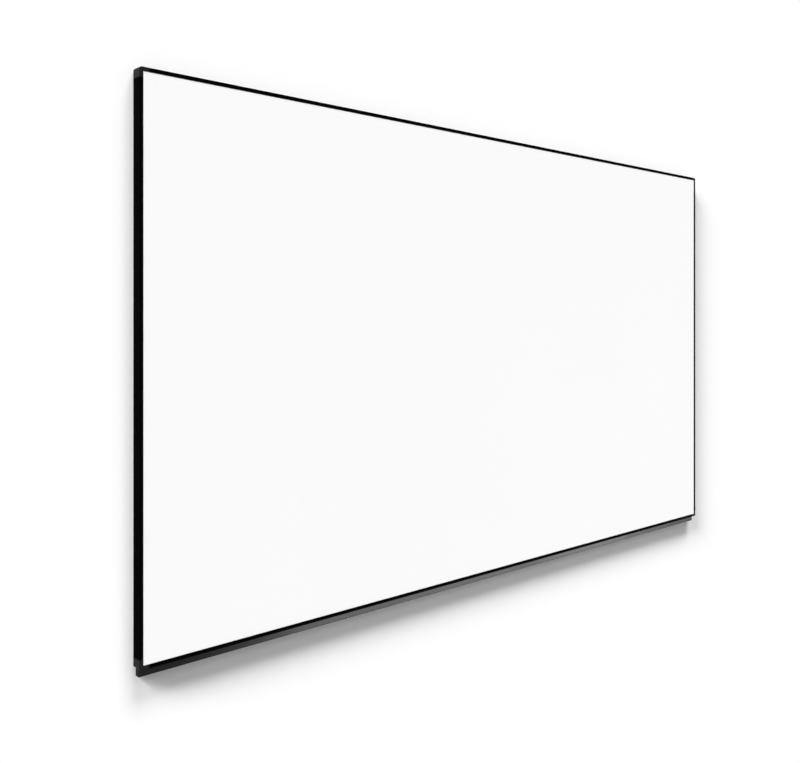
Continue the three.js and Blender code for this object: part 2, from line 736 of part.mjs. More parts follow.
function trimEnd() {
  const plate = run(
    outline(
      [
        [TRIM_TOP, TRIM_FRONT],
        [TRIM_BOTTOM, TRIM_FRONT],
        [TRIM_BOTTOM, -TRIM_BACK_GAP],
        [TRIM_TOP, -TRIM_BACK_GAP],
      ],
      [TRIM_BEND, TRIM_BEND, 0, 0],
    ),
    TRIM_LENGTH + FIT,
    TRIM_LENGTH + FIT + TRIM_END_WALL,
  );
  const plug = block(
    [TRIM_LENGTH - TRIM_END_PLUG, TRIM_LENGTH + FIT + TRIM_END_WALL],
    [TRIM_FRONT + TRIM_WALL + 2 * FIT, -TRIM_BACK_GAP],
    [TRIM_TOP + TRIM_WALL + FIT, TRIM_BOTTOM - TRIM_WALL - FIT],
  );
  return joined([plate, plug]);
}

// Assembly: a group on each edge and each corner of the picture

function placedGroup(x, z, turn) {
  const group = new THREE.Group();
  group.position.set(x, 0, z);
  group.rotation.y = turn;
  group.updateMatrix();
  return group;
}

const EDGES = {
  top: placedGroup(0, PICTURE_TOP, 0),
  bottom: placedGroup(0, PICTURE_BOTTOM, Math.PI),
  left: placedGroup(-HALF_WIDTH, PICTURE_CENTRE, -Math.PI / 2),
  right: placedGroup(HALF_WIDTH, PICTURE_CENTRE, Math.PI / 2),
};

const CORNERS = {
  top_right: placedGroup(HALF_WIDTH, PICTURE_TOP, 0),
  top_left: placedGroup(-HALF_WIDTH, PICTURE_TOP, -Math.PI / 2),
  bottom_left: placedGroup(-HALF_WIDTH, PICTURE_BOTTOM, Math.PI),
  bottom_right: placedGroup(HALF_WIDTH, PICTURE_BOTTOM, Math.PI / 2),
};

// The viewer's left and right halves of the long edges, which the bottom edge's turn swaps.
const HALVES = {
  top: { right: 1, left: -1 },
  bottom: { right: -1, left: 1 },
};

const screen = new THREE.Group();
screen.add(...Object.values(EDGES), ...Object.values(CORNERS));

function addPiece(parent, name, geometry, material, x = 0, y = 0, z = 0) {
  const mesh = new THREE.Mesh(geometry, material);
  mesh.name = name;
  mesh.position.set(x, y, z);
  parent.add(mesh);
}

addPiece(screen, 'screen_membrane', pictureSheet(), FINISHES.sheet);

const handed = (geometry) => ({ 1: geometry, [-1]: mirroredX(geometry) });
const halfRails = handed(halfRail());
const halfBezels = { top: handed(halfBezel()), bottom: handed(drilledHalfBezel()) };
const halfRows = handed(tensionRow(ROD_END_GAP, HALF_HEM_END - ROD_END_GAP, halfSprings));
const lowerTrims = handed(lowerTrim());
const trimEnds = handed(trimEnd());
const splice = splicePlate();
const foot = supportFoot();
const spliceScrewBlank = spliceScrew();
const footScrewBlank = footScrew();
const bracket = wallBracket();

for (const [edge, halves] of Object.entries(HALVES)) {
  for (const [hand, direction] of Object.entries(halves)) {
    addPiece(EDGES[edge], `${edge}_rail_${hand}`, halfRails[direction], FINISHES.rail);
    addPiece(EDGES[edge], `${edge}_bezel_${hand}`, halfBezels[edge][direction], FINISHES.bezel);
    addPiece(EDGES[edge], `tension_row_${edge}_${hand}`, halfRows[direction], FINISHES.spring);
    SPLICE_SCREWS.forEach((station, i) => {
      const name = `splice_screw_${edge}_${hand}_${i + 1}`;
      const x = direction * station;
      addPiece(EDGES[edge], name, spliceScrewBlank, FINISHES.screw, x, PLATE_BACK + FIT, PLATE_MIDDLE_OUT);
    });
    const seat = FOOT_OUT - FOOT_THICKNESS - FIT;
    const screwName = `support_screw_${edge}_${hand}`;
    addPiece(EDGES[edge], screwName, footScrewBlank, FINISHES.screw, direction * FOOT_SCREW, RAIL_MIDDLE, seat);
    addPiece(EDGES[edge], `wall_bracket_${edge}_${hand}`, bracket, FINISHES.bracket, direction * SIDE_BRACKET_X);
  }
  addPiece(EDGES[edge], `splice_plate_${edge}`, splice, FINISHES.plate);
  addPiece(EDGES[edge], `support_foot_${edge}`, foot, FINISHES.foot);
}
addPiece(EDGES.top, 'wall_bracket_top_centre', bracket, FINISHES.bracket);
addPiece(screen, 'support_bar', supportBar(), FINISHES.bar, 0, 0, PICTURE_CENTRE);

for (const [hand, direction] of Object.entries(HALVES.bottom)) {
  addPiece(EDGES.bottom, `lower_trim_${hand}`, lowerTrims[direction], FINISHES.lowerTrim);
  addPiece(EDGES.bottom, `lower_trim_end_${hand}`, trimEnds[direction], FINISHES.trimEnd);
}

const longSideRail = sideRail();
const longSideBezel = sideBezel();
const sideRow = tensionRow(ROD_END_GAP - SIDE_HEM_END, SIDE_HEM_END - ROD_END_GAP, sideSprings);
for (const hand of ['left', 'right']) {
  addPiece(EDGES[hand], `side_rail_${hand}`, longSideRail, FINISHES.rail);
  addPiece(EDGES[hand], `side_bezel_${hand}`, longSideBezel, FINISHES.bezel);
  addPiece(EDGES[hand], `tension_row_${hand}`, sideRow, FINISHES.spring);
}

const cap = cornerCap();
const plate = cornerPlate();
const rubber = bumper();
for (const [corner, group] of Object.entries(CORNERS)) {
  addPiece(group, `corner_cap_${corner}`, cap, FINISHES.cap);
  addPiece(group, `corner_plate_${corner}`, plate, FINISHES.plate);
  addPiece(group, `wall_bumper_${corner}`, rubber, FINISHES.bumper);
}

export default screen;
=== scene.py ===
"""Fixed-frame projector screen: its dressed pieces, the camera, the light and a plain stage.

Lengths are metres in the row's frame: the wall is the plane y = 0, the picture faces -Y, +X is the
viewer's right and +Z is up. Each side of the screen is drawn in the frame of its own edge of the
picture, where x runs along the edge, z points outward from the picture and y is the depth.
"""

from __future__ import annotations

import logging
import math
from collections.abc import Sequence
from dataclasses import dataclass, replace
from enum import Enum

import bmesh
import bpy
from mathutils import Matrix, Vector

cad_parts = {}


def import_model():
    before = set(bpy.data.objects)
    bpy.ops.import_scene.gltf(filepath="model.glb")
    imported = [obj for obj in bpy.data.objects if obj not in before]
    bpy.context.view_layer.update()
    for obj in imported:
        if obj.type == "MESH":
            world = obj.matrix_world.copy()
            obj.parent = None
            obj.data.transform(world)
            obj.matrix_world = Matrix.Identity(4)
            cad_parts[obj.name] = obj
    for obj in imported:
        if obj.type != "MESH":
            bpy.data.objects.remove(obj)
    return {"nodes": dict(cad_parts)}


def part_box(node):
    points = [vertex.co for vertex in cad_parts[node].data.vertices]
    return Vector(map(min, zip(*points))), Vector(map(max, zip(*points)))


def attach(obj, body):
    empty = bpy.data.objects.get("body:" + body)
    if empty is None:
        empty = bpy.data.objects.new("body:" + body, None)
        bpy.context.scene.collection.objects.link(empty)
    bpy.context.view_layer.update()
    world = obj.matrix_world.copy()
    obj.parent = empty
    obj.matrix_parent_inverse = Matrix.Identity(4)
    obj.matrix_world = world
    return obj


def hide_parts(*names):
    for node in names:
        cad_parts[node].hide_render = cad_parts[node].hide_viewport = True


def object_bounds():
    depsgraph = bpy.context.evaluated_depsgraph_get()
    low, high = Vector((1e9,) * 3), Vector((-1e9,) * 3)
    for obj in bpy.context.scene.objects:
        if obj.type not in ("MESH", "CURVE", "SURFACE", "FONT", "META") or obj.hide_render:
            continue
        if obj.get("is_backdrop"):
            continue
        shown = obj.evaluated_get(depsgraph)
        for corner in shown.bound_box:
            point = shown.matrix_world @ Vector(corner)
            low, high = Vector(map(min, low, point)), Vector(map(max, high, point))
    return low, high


LOG = logging.getLogger("screen")
BODY = "root"

MM = 0.001
SEAT = 0.2 * MM
SHADING_MARGIN = 0.1 * MM
SMOOTH_ANGLE = 32.0
ROUND_STEPS = 5
FOLD_STEPS = 6

Point = tuple[float, float]
Point3 = tuple[float, float, float]
Colour = tuple[float, float, float]
Ring = list[bmesh.types.BMVert]


class Edge(Enum):
    """An edge of the picture, with the turn about +Y that points local z outward."""

    TOP = ("top", 0.0)
    BOTTOM = ("bottom", math.pi)
    LEFT = ("left", -math.pi / 2)
    RIGHT = ("right", math.pi / 2)

    @property
    def label(self) -> str:
        """The word for this edge in node names."""
        return self.value[0]

    @property
    def turn(self) -> float:
        """The turn about +Y from the top edge's frame."""
        return self.value[1]

    @property
    def is_long(self) -> bool:
        """True on the top and bottom edges, which are made in two halves."""
        return self in LONG_EDGES


LONG_EDGES = (Edge.TOP, Edge.BOTTOM)
SIDE_EDGES = (Edge.LEFT, Edge.RIGHT)
HANDS = ("left", "right")


class Corner(Enum):
    """A corner of the picture, with its sides and the turn from the top right corner's frame."""

    TOP_RIGHT = ("top_right", 1, 1, 0.0)
    TOP_LEFT = ("top_left", -1, 1, -math.pi / 2)
    BOTTOM_LEFT = ("bottom_left", -1, -1, math.pi)
    BOTTOM_RIGHT = ("bottom_right", 1, -1, math.pi / 2)

    @property
    def label(self) -> str:
        """The words for this corner in node names."""
        return self.value[0]


class Slot(Enum):
    """The record's material slots, named for the new pieces."""

    SHEET = "picture_sheet"
    BEZEL = "bezel"
    CAP = "corner_cap"
    TRIM = "lower_trim"
    TRIM_END = "trim_end"
    PLATE = "joining_plate"
    SCREW = "screw"
    SPRING = "spring_steel"
    BAR = "support_bar"
    FOOT = "support_foot"
    BRACKET = "wall_bracket"
    BUMPER = "bumper"


def node_box(node: str) -> tuple[Vector, Vector, Vector]:
    """A node's lowest corner, highest corner and middle."""
    low, high = (Vector(corner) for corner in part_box(node))
    return low, high, (low + high) / 2


@dataclass(frozen=True)
class Picture:
    """The picture area and the planes that every piece is placed by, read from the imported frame."""

    half_width: float
    top: float
    bottom: float
    front: float
    back: float
    bezel_width: float
    rail_out: float
    rail_in: float
    rail_back: float
    lip_back: float

    @classmethod
    def from_frame(cls) -> "Picture":
        """Reads the picture's edges and the main planes from the nodes' boxes.

        Returns:
            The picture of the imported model.
        """
        bezel_low, bezel_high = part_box("top_bezel_right")
        rail_low, rail_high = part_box("top_rail_right")
        plate_low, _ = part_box("splice_plate_top")
        return cls(
            half_width=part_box("side_bezel_right")[0][0],
            top=bezel_low[2],
            bottom=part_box("bottom_bezel_right")[1][2],
            front=bezel_low[1],
            back=bezel_high[1],
            bezel_width=bezel_high[2] - bezel_low[2],
            rail_out=rail_high[2] - bezel_low[2],
            rail_in=rail_low[2] - bezel_low[2],
            rail_back=plate_low[1] - SEAT,
            lip_back=rail_high[1],
        )

    @property
    def half_height(self) -> float:
        """Half of the picture's height."""
        return (self.top - self.bottom) / 2

    @property
    def centre(self) -> float:
        """The height of the picture's middle."""
        return (self.top + self.bottom) / 2

    def half_length(self, edge: Edge) -> float:
        """Half the length of an edge of the picture."""
        return self.half_width if edge.is_long else self.half_height

    def edge_matrix(self, edge: Edge) -> Matrix:
        """The placement of an edge's own frame.

        Args:
            edge: The edge of the picture.

        Returns:
            The matrix from the edge's frame to the row's frame.
        """
        middle = {
            Edge.TOP: (0.0, 0.0, self.top),
            Edge.BOTTOM: (0.0, 0.0, self.bottom),
            Edge.LEFT: (-self.half_width, 0.0, self.centre),
            Edge.RIGHT: (self.half_width, 0.0, self.centre),
        }[edge]
        return Matrix.Translation(middle) @ Matrix.Rotation(edge.turn, 4, "Y")

    def corner_matrix(self, corner: Corner) -> Matrix:
        """The placement of a corner's own frame, in which x and z both point outward.

        Args:
            corner: The corner of the picture.

        Returns:
            The matrix from the corner's frame to the row's frame.
        """
        _, across, up, turn = corner.value
        place = (across * self.half_width, 0.0, self.top if up > 0 else self.bottom)
        return Matrix.Translation(place) @ Matrix.Rotation(turn, 4, "Y")

    def box_on_edge(self, node: str, edge: Edge) -> tuple[Vector, Vector]:
        """A node's box in an edge's own frame.

        Args:
            node: The node's name.
            edge: The edge of the picture.

        Returns:
            The lowest and the highest corner.
        """
        to_edge = self.edge_matrix(edge).inverted()
        corners = [to_edge @ Vector(corner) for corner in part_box(node)]
        low = Vector([min(pair) for pair in zip(*corners)])
        high = Vector([max(pair) for pair in zip(*corners)])
        return low, high


# Sections


def rounded_line(
    points: Sequence[Point], radii: Sequence[float], steps: int, closed: bool
) -> list[Vector]:
    """Rounds the corners of a line, with a point on the straight at each side so that it shades flat.

    Args:
        points: The corners of the line.
        radii: The distance from each corner at which its rounding starts; 0 leaves it sharp.
        steps: The number of straight steps in each rounding.
        closed: Whether the last point joins the first.

    Returns:
        The points of the rounded line.
    """
    corners = [Vector(p) for p in points]
    line: list[Vector] = []
    for i, corner in enumerate(corners):
        is_end = not closed and i in (0, len(corners) - 1)
        if is_end or not radii[i]:
            line.append(corner)
            continue
        towards = (corners[i - 1] - corner).normalized()
        onward = (corners[(i + 1) % len(corners)] - corner).normalized()
        start = corner + towards * radii[i]
        end = corner + onward * radii[i]
        half = towards.angle(onward) / 2
        centre = corner + (towards + onward).normalized() * (radii[i] / math.cos(half))
        first = start - centre
        sweep = first.angle_signed(end - centre)
        line.append(start + towards * SHADING_MARGIN)
        for step in range(steps + 1):
            turn = -sweep * step / steps
            cos, sin = math.cos(turn), math.sin(turn)
            line.append(centre + Vector((first.x * cos - first.y * sin, first.x * sin + first.y * cos)))
        line.append(end + onward * SHADING_MARGIN)
    return line


def rounded_rectangle(low: Point, high: Point, radii: Sequence[float], steps: int) -> list[Vector]:
    """A rectangle between two corners with each of its corners rounded."""
    corners = [low, (high[0], low[1]), high, (low[0], high[1])]
    return rounded_line(corners, radii, steps, closed=True)


def folded_section(points: Sequence[Point], thickness: float, bend: float) -> list[Vector]:
    """The closed section of a sheet of even thickness that follows a bent middle line.

    Args:
        points: The corners of the middle line.
        thickness: The thickness of the sheet.
        bend: The bend radius at the middle line.

    Returns:
        The points of the section.
    """
    line = rounded_line(points, [bend] * len(points), FOLD_STEPS, closed=False)
    near: list[Vector] = []
    far: list[Vector] = []
    for i, point in enumerate(line):
        outgoing = line[min(i + 1, len(line) - 1)] - point
        incoming = point - line[max(i - 1, 0)]
        heading = (incoming.normalized() + outgoing.normalized()).normalized()
        reference = (outgoing if i == 0 else incoming).normalized()
        reach = thickness / 2 / heading.dot(reference)
        normal = Vector((-heading.y, heading.x)) * reach
        near.append(point + normal)
        far.insert(0, point - normal)
    return near + far


def circle(sides: int) -> list[Point]:
    """The cosine and the sine of each even step round a circle."""
    turns = [2 * math.pi * i / sides for i in range(sides)]
    return [(math.cos(turn), math.sin(turn)) for turn in turns]


# Meshes


def add_object(name: str, data: bpy.types.ID) -> bpy.types.Object:
    """Makes an object from its data and links it to the scene.

    Args:
        name: The name of the object.
        data: Its mesh, light or camera data.

    Returns:
        The new object.
    """
    added = bpy.data.objects.new(name, data)
    bpy.context.scene.collection.objects.link(added)
    return added


def shade(data: bpy.types.Mesh, angle: float = SMOOTH_ANGLE) -> None:
    """Shades a mesh smooth, apart from edges that turn by more than an angle in degrees."""
    data.shade_smooth()
    data.set_sharp_from_angle(angle=math.radians(angle))


def apply_modifiers(piece: bpy.types.Object) -> None:
    """Applies an object's modifiers for good and shades the new mesh.

    Args:
        piece: The object.
    """
    evaluated = piece.evaluated_get(bpy.context.evaluated_depsgraph_get())
    data = bpy.data.meshes.new_from_object(evaluated)
    old = piece.data
    piece.modifiers.clear()
    piece.data = data
    bpy.data.meshes.remove(old)
    data.name = piece.name
    shade(data)


class Draft:
    """A mesh in the making, built from rings of points."""

    def __init__(self) -> None:
        """Starts an empty mesh."""
        self.mesh = bmesh.new()

    def skin(self, rings: Sequence[Sequence[Sequence[float]]], closed: bool = False) -> list[Ring]:
        """Joins a row of closed rings of equal length with quads.

        Args:
            rings: The rings of points, in order.
            closed: Whether the last ring joins the first.

        Returns:
            The rings of mesh points.
        """
        made = [[self.mesh.verts.new(p) for p in points] for points in rings]
        following = made[1:] + made[:1] if closed else made[1:]
        for ring, other in zip(made, following):
            for i in range(len(ring)):
                k = (i + 1) % len(ring)
                self.mesh.faces.new((ring[i], ring[k], other[k], other[i]))
        return made

    def loft(self, rings: Sequence[Sequence[Sequence[float]]]) -> None:
        """Skins a row of closed rings, with a flat face on each end.

        Args:
            rings: The rings of points, in order.
        """
        made = self.skin(rings)
        self.mesh.faces.new(list(reversed(made[0])))
        self.mesh.faces.new(made[-1])

    def run(self, section: Sequence[Vector], start: float, end: float) -> None:
        """Runs an (out, depth) section along the edge between two stations."""
        self.loft([[(x, p.y, p.x) for p in section] for x in (start, end)])

    def plate(self, outline: Sequence[Vector], front: float, back: float) -> None:
        """Adds a flat plate with an (along, out) outline between two depths."""
        self.loft([[(p.x, y, p.y) for p in outline] for y in (front, back)])

    def lathe(self, profile: Sequence[Point], sides: int, place: Matrix) -> None:
        """Turns a (radius, height) profile about its own +Y axis.

        Args:
            profile: The profile from the bottom pole to the top pole, whose ends lie on the axis.
            sides: The number of sides.
            place: Where the turned piece goes.
        """
        rings = [
            [place @ Vector((radius * cos, height, radius * sin)) for cos, sin in circle(sides)]
            for radius, height in profile[1:-1]
        ]
        made = self.skin(rings)
        for pole, ring in ((profile[0], made[0]), (profile[-1], made[-1])):
            tip = self.mesh.verts.new(place @ Vector((0.0, pole[1], 0.0)))
            for i in range(sides):
                self.mesh.faces.new((ring[i], ring[(i + 1) % sides], tip))

    def tube(self, path: Sequence[Vector], radius: float, sides: int) -> None:
        """Sweeps a round wire along a path.

        Args:
            path: The points of the wire's middle line.
            radius: The radius of the wire.
            sides: The number of sides.
        """
        rings = []
        side = (path[1] - path[0]).normalized().orthogonal().normalized()
        for i, point in enumerate(path):
            ahead = (path[min(i + 1, len(path) - 1)] - path[max(i - 1, 0)]).normalized()
            side = (side - ahead * side.dot(ahead)).normalized()
            other = ahead.cross(side)
            rings.append([point + (side * cos + other * sin) * radius for cos, sin in circle(sides)])
        self.loft(rings)

    def box(self, low: Sequence[float], high: Sequence[float]) -> None:
        """Adds a box between two corners."""
        around = [(low[1], low[2]), (high[1], low[2]), (high[1], high[2]), (low[1], high[2])]
        self.loft([[(x, y, z) for y, z in around] for x in (low[0], high[0])])

    def weld(self, distance: float) -> None:
        """Merges points that lie within a distance of each other."""
        bmesh.ops.remove_doubles(self.mesh, verts=self.mesh.verts, dist=distance)

    def bevel(self, width: float, segments: int = 2, least_turn: float = 40.0) -> None:
        """Rounds every edge that turns more than a given angle.

        Args:
            width: The width of the rounding.
            segments: The number of steps in it.
            least_turn: The least turn of an edge that is rounded, in degrees.
        """
        bmesh.ops.recalc_face_normals(self.mesh, faces=self.mesh.faces)
        sharp = [e for e in self.mesh.edges if len(e.link_faces) == 2]
        sharp = [e for e in sharp if e.calc_face_angle(0.0) > math.radians(least_turn)]
        bmesh.ops.bevel(
            self.mesh, geom=sharp, offset=width, segments=segments, affect="EDGES", clamp_overlap=True
        )

    def object(
        self, name: str, place: Matrix | None = None, smooth_angle: float = SMOOTH_ANGLE
    ) -> bpy.types.Object:
        """Turns the draft into an object at the origin.

        Args:
            name: The name of the object.
            place: The matrix that the points are moved by.
            smooth_angle: The angle in degrees above which an edge stays sharp.

        Returns:
            The new object.
        """
        if place is not None:
            self.mesh.transform(place)
        bmesh.ops.recalc_face_normals(self.mesh, faces=self.mesh.faces)
        data = bpy.data.meshes.new(name)
        self.mesh.to_mesh(data)
        self.mesh.free()
        shade(data, smooth_angle)
        return add_object(name, data)


def subtract(piece: bpy.types.Object, cutters: Sequence[bpy.types.Object]) -> None:
    """Cuts other objects out of a piece for good and removes them.

    Args:
        piece: The object to cut.
        cutters: The objects whose space is taken away.
    """
    for cutter in cutters:
        modifier = piece.modifiers.new("cut", "BOOLEAN")
        modifier.operation = "DIFFERENCE"
        modifier.object = cutter
        modifier.solver = "EXACT"
    apply_modifiers(piece)
    for cutter in cutters:
        bpy.data.objects.remove(cutter)


def drill(
    piece: bpy.types.Object, radius: float, reach: float, seats: Sequence[Matrix], sides: int
) -> None:
    """Cuts a round hole through a piece at each seat, along the seat's own Y.

    Args:
        piece: The object to drill.
        radius: The radius of the holes.
        reach: How far each hole goes to either side of its seat.
        seats: The places of the holes.
        sides: The number of sides of a hole.
    """
    drills = []
    for seat in seats:
        draft = Draft()
        draft.lathe([(0.0, -reach), (radius, -reach), (radius, reach), (0.0, reach)], sides, seat)
        drills.append(draft.object("drill"))
    subtract(piece, drills)


# Shader groups and finishes


class NodeKit:
    """Short calls that add nodes to one tree."""

    def __init__(self, tree: bpy.types.NodeTree) -> None:
        """Takes the tree that the nodes go into."""
        self.tree = tree

    def feed(self, source: object, target: bpy.types.NodeSocket) -> None:
        """Gives a socket its link, its colour or its number.

        Args:
            source: An output socket, a colour or a number.
            target: The input socket.
        """
        if isinstance(source, bpy.types.NodeSocket):
            self.tree.links.new(source, target)
        elif isinstance(source, tuple):
            target.default_value = (*source, 1.0)
        else:
            target.default_value = source

    def node(
        self, kind: str, inputs: dict[str, object] | None = None, **settings: object
    ) -> bpy.types.Node:
        """Adds a node.

        Args:
            kind: The node's type.
            inputs: What its input sockets are fed, by name.
            **settings: The values of its own properties.

        Returns:
            The new node.
        """
        made = self.tree.nodes.new(kind)
        for key, value in settings.items():
            setattr(made, key, value)
        for label, source in (inputs or {}).items():
            self.feed(source, made.inputs[label])
        return made

    def combine(self, kind: str, sources: Sequence[object], **settings: object) -> bpy.types.Node:
        """Adds a node whose first inputs are fed in order.

        Args:
            kind: The node's type.
            sources: What its first input sockets are fed.
            **settings: The values of its own properties.

        Returns:
            The new node.
        """
        made = self.node(kind, **settings)
        for source, target in zip(sources, made.inputs):
            self.feed(source, target)
        return made

    def math(
        self, operation: str, first: object, second: object, clamp: bool = False
    ) -> bpy.types.NodeSocket:
        """Adds a Math node.

        Args:
            operation: The operation's name.
            first: A socket or a number.
            second: A socket or a number.
            clamp: Whether the result is held between 0 and 1.

        Returns:
            The result's socket.
        """
        sources = (first, second)
        return self.combine("ShaderNodeMath", sources, operation=operation, use_clamp=clamp).outputs[0]

    def mix(self, share: object, first: object, second: Colour) -> bpy.types.NodeSocket:
        """Mixes a colour or a colour socket with another colour.

        Args:
            share: The share of the second colour.
            first: The colour, or its socket, at share 0.
            second: The colour at share 1.

        Returns:
            The mixed colour's socket.
        """
        made = self.node("ShaderNodeMix", data_type="RGBA")
        for source, index in ((share, 0), (first, 6), (second, 7)):
            self.feed(source, made.inputs[index])
        return made.outputs[2]

    def noise(self, place: object, scale: object, detail: float) -> bpy.types.NodeSocket:
        """Adds a noise texture and gives its grey value."""
        inputs = {"Vector": place, "Scale": scale, "Detail": detail}
        return self.node("ShaderNodeTexNoise", inputs).outputs["Fac"]


class ShaderGroup(NodeKit):
    """A shader node group in the making, with numbers going in and numbers coming out."""

    def __init__(self, name: str, inputs: dict[str, float], outputs: Sequence[str]) -> None:
        """Starts a group.

        Args:
            name: The name of the group.
            inputs: The number inputs and their defaults.
            outputs: The names of the outputs.
        """
        super().__init__(bpy.data.node_groups.new(name, "ShaderNodeTree"))
        face = self.tree.interface
        for label, default in inputs.items():
            socket = face.new_socket(name=label, in_out="INPUT", socket_type="NodeSocketFloat")
            socket.default_value = default
        for label in outputs:
            face.new_socket(name=label, in_out="OUTPUT", socket_type="NodeSocketFloat")
        self.given = self.node("NodeGroupInput").outputs
        self.result = self.node("NodeGroupOutput").inputs


def grain_group() -> bpy.types.NodeTree:
    """Fine moulded or coated grain: a height for bump and a slow drift for colour.

    Returns:
        The group's tree, with Size in metres, Stretch X and Stretch Z, and outputs Height and Drift.
    """
    group = ShaderGroup(
        "fine_grain",
        {"Size": 1.0 * MM, "Stretch X": 1.0, "Stretch Z": 1.0, "Drift Size": 0.2},
        ("Height", "Drift"),
    )
    place = group.node("ShaderNodeTexCoord").outputs["Object"]
    shares = (
        group.math("DIVIDE", 1.0, group.given["Stretch X"]),
        1.0,
        group.math("DIVIDE", 1.0, group.given["Stretch Z"]),
    )
    stretch = group.combine("ShaderNodeCombineXYZ", shares).outputs[0]
    spread = group.combine("ShaderNodeVectorMath", (place, stretch), operation="MULTIPLY").outputs[0]
    fine = group.noise(spread, group.math("DIVIDE", 1.0, group.given["Size"]), detail=3.0)
    slow = group.noise(place, group.math("DIVIDE", 1.0, group.given["Drift Size"]), detail=4.0)
    group.feed(fine, group.result["Height"])
    group.feed(slow, group.result["Drift"])
    return group.tree


def edge_group() -> bpy.types.NodeTree:
    """Where a piece's edges show wear, with a painted highlight laid on the same edges.

    Returns:
        The group's tree, with Radius and Gain, and output Mask.
    """
    group = ShaderGroup("edge_wear_and_highlight", {"Radius": 0.6 * MM, "Gain": 4.0}, ("Mask",))
    rounded = group.node("ShaderNodeBevel", {"Radius": group.given["Radius"]}, samples=4).outputs[0]
    flat = group.node("ShaderNodeNewGeometry").outputs["Normal"]
    alike = group.combine("ShaderNodeVectorMath", (rounded, flat), operation="DOT_PRODUCT")
    bent = group.math("SUBTRACT", 1.0, alike.outputs["Value"])
    strong = group.math("MULTIPLY", bent, group.given["Gain"])
    group.feed(group.math("MINIMUM", group.math("MAXIMUM", strong, 0.0), 1.0), group.result["Mask"])
    return group.tree


def dust_group() -> bpy.types.NodeTree:
    """A thin, patchy dust that lies on faces that look up.

    Returns:
        The group's tree, with Amount, and output Mask.
    """
    group = ShaderGroup("settled_dust", {"Amount": 0.3}, ("Mask",))
    normal = group.node("ShaderNodeNewGeometry").outputs["Normal"]
    split = group.combine("ShaderNodeSeparateXYZ", (normal,))
    patches = group.noise(group.node("ShaderNodeTexCoord").outputs["Object"], scale=60.0, detail=5.0)
    upward = group.math("MAXIMUM", split.outputs["Z"], 0.0)
    patchy = group.math("MULTIPLY", upward, patches)
    group.feed(group.math("MULTIPLY", patchy, group.given["Amount"]), group.result["Mask"])
    return group.tree


DUST = (0.45, 0.44, 0.42)
GLOSS_SWING = 0.06
LEAST_ROUGHNESS = 0.02


@dataclass(frozen=True)
class Finish:
    """A surface finish: its colours, gloss, grain, edge wear with a painted highlight, and dust."""

    name: str
    colour: Colour
    second: Colour
    roughness: float
    metallic: float = 0.0
    specular: float = 0.5
    grain_size: float = 0.6 * MM
    grain_depth: float = 0.02 * MM
    grain_share: float = 0.0
    stretch_x: float = 1.0
    stretch_z: float = 1.0
    drift_size: float = 0.25
    # The colour laid on edges, both as wear and as a painted highlight.
    edge_colour: Colour | None = None
    edge_share: float = 0.0
    dust: float = 0.0

    def build(self, groups: dict[str, bpy.types.NodeTree]) -> bpy.types.Material:
        """Makes the material.

        Args:
            groups: The shared shader groups by name.

        Returns:
            The new material.
        """
        material = bpy.data.materials.new(self.name)
        material.use_nodes = True
        material.diffuse_color = (*self.colour, 1.0)
        kit = NodeKit(material.node_tree)
        shader = kit.tree.nodes["Principled BSDF"]
        shader.inputs["Metallic"].default_value = self.metallic
        shader.inputs["Specular IOR Level"].default_value = self.specular
        sizes = {
            "Size": self.grain_size,
            "Stretch X": self.stretch_x,
            "Stretch Z": self.stretch_z,
            "Drift Size": self.drift_size,
        }
        grain = kit.node("ShaderNodeGroup", node_tree=groups["grain"])
        for label, size in sizes.items():
            grain.inputs[label].default_value = size
        height, drift = grain.outputs["Height"], grain.outputs["Drift"]
        colour = kit.mix(drift, self.colour, self.second)
        if self.grain_share:
            colour = kit.mix(kit.math("MULTIPLY", height, self.grain_share), colour, self.second)
        # Edges lightened both as wear and as a painted highlight.
        if self.edge_colour is not None:
            wear_and_highlight = kit.node("ShaderNodeGroup", node_tree=groups["edge"]).outputs["Mask"]
            colour = kit.mix(kit.math("MULTIPLY", wear_and_highlight, self.edge_share), colour, self.edge_colour)
        if self.dust:
            settled = kit.node("ShaderNodeGroup", node_tree=groups["dust"])
            settled.inputs["Amount"].default_value = self.dust
            colour = kit.mix(settled.outputs["Mask"], colour, DUST)
        kit.feed(colour, shader.inputs["Base Color"])
        gloss = {
            "Value": drift,
            "From Min": 0.3,
            "From Max": 0.7,
            "To Min": max(self.roughness - GLOSS_SWING, LEAST_ROUGHNESS),
            "To Max": min(self.roughness + GLOSS_SWING, 1.0),
        }
        kit.feed(kit.node("ShaderNodeMapRange", gloss).outputs[0], shader.inputs["Roughness"])
        bump = {"Strength": 1.0, "Distance": self.grain_depth, "Height": height}
        kit.feed(kit.node("ShaderNodeBump", bump).outputs[0], shader.inputs["Normal"])
        return material


FILM_FRONT = Finish(
    "film_front", (0.958, 0.958, 0.955), (0.946, 0.946, 0.943), 0.86, specular=0.2,
    grain_size=0.9 * MM, grain_depth=0.01 * MM, drift_size=0.6,
)
FILM_BACK = Finish(
    "film_back", (0.02, 0.02, 0.021), (0.028, 0.028, 0.029), 0.7, specular=0.3,
    grain_size=0.9 * MM, grain_depth=0.03 * MM, drift_size=0.15,
)
BEZEL_BLACK = Finish(
    "bezel_black", (0.0009, 0.0009, 0.0009), (0.0018, 0.0018, 0.0018), 0.78, specular=0.006,
    grain_size=0.5 * MM, grain_depth=0.02 * MM, edge_colour=(0.012, 0.012, 0.0122), edge_share=0.3,
)
CAP_GREY = Finish(
    "cap_dark_grey", (0.006, 0.006, 0.0062), (0.012, 0.012, 0.0123), 0.55, specular=0.06,
    grain_size=0.35 * MM, grain_depth=0.03 * MM, grain_share=0.5,
    edge_colour=(0.035, 0.035, 0.0355), edge_share=0.35,
)
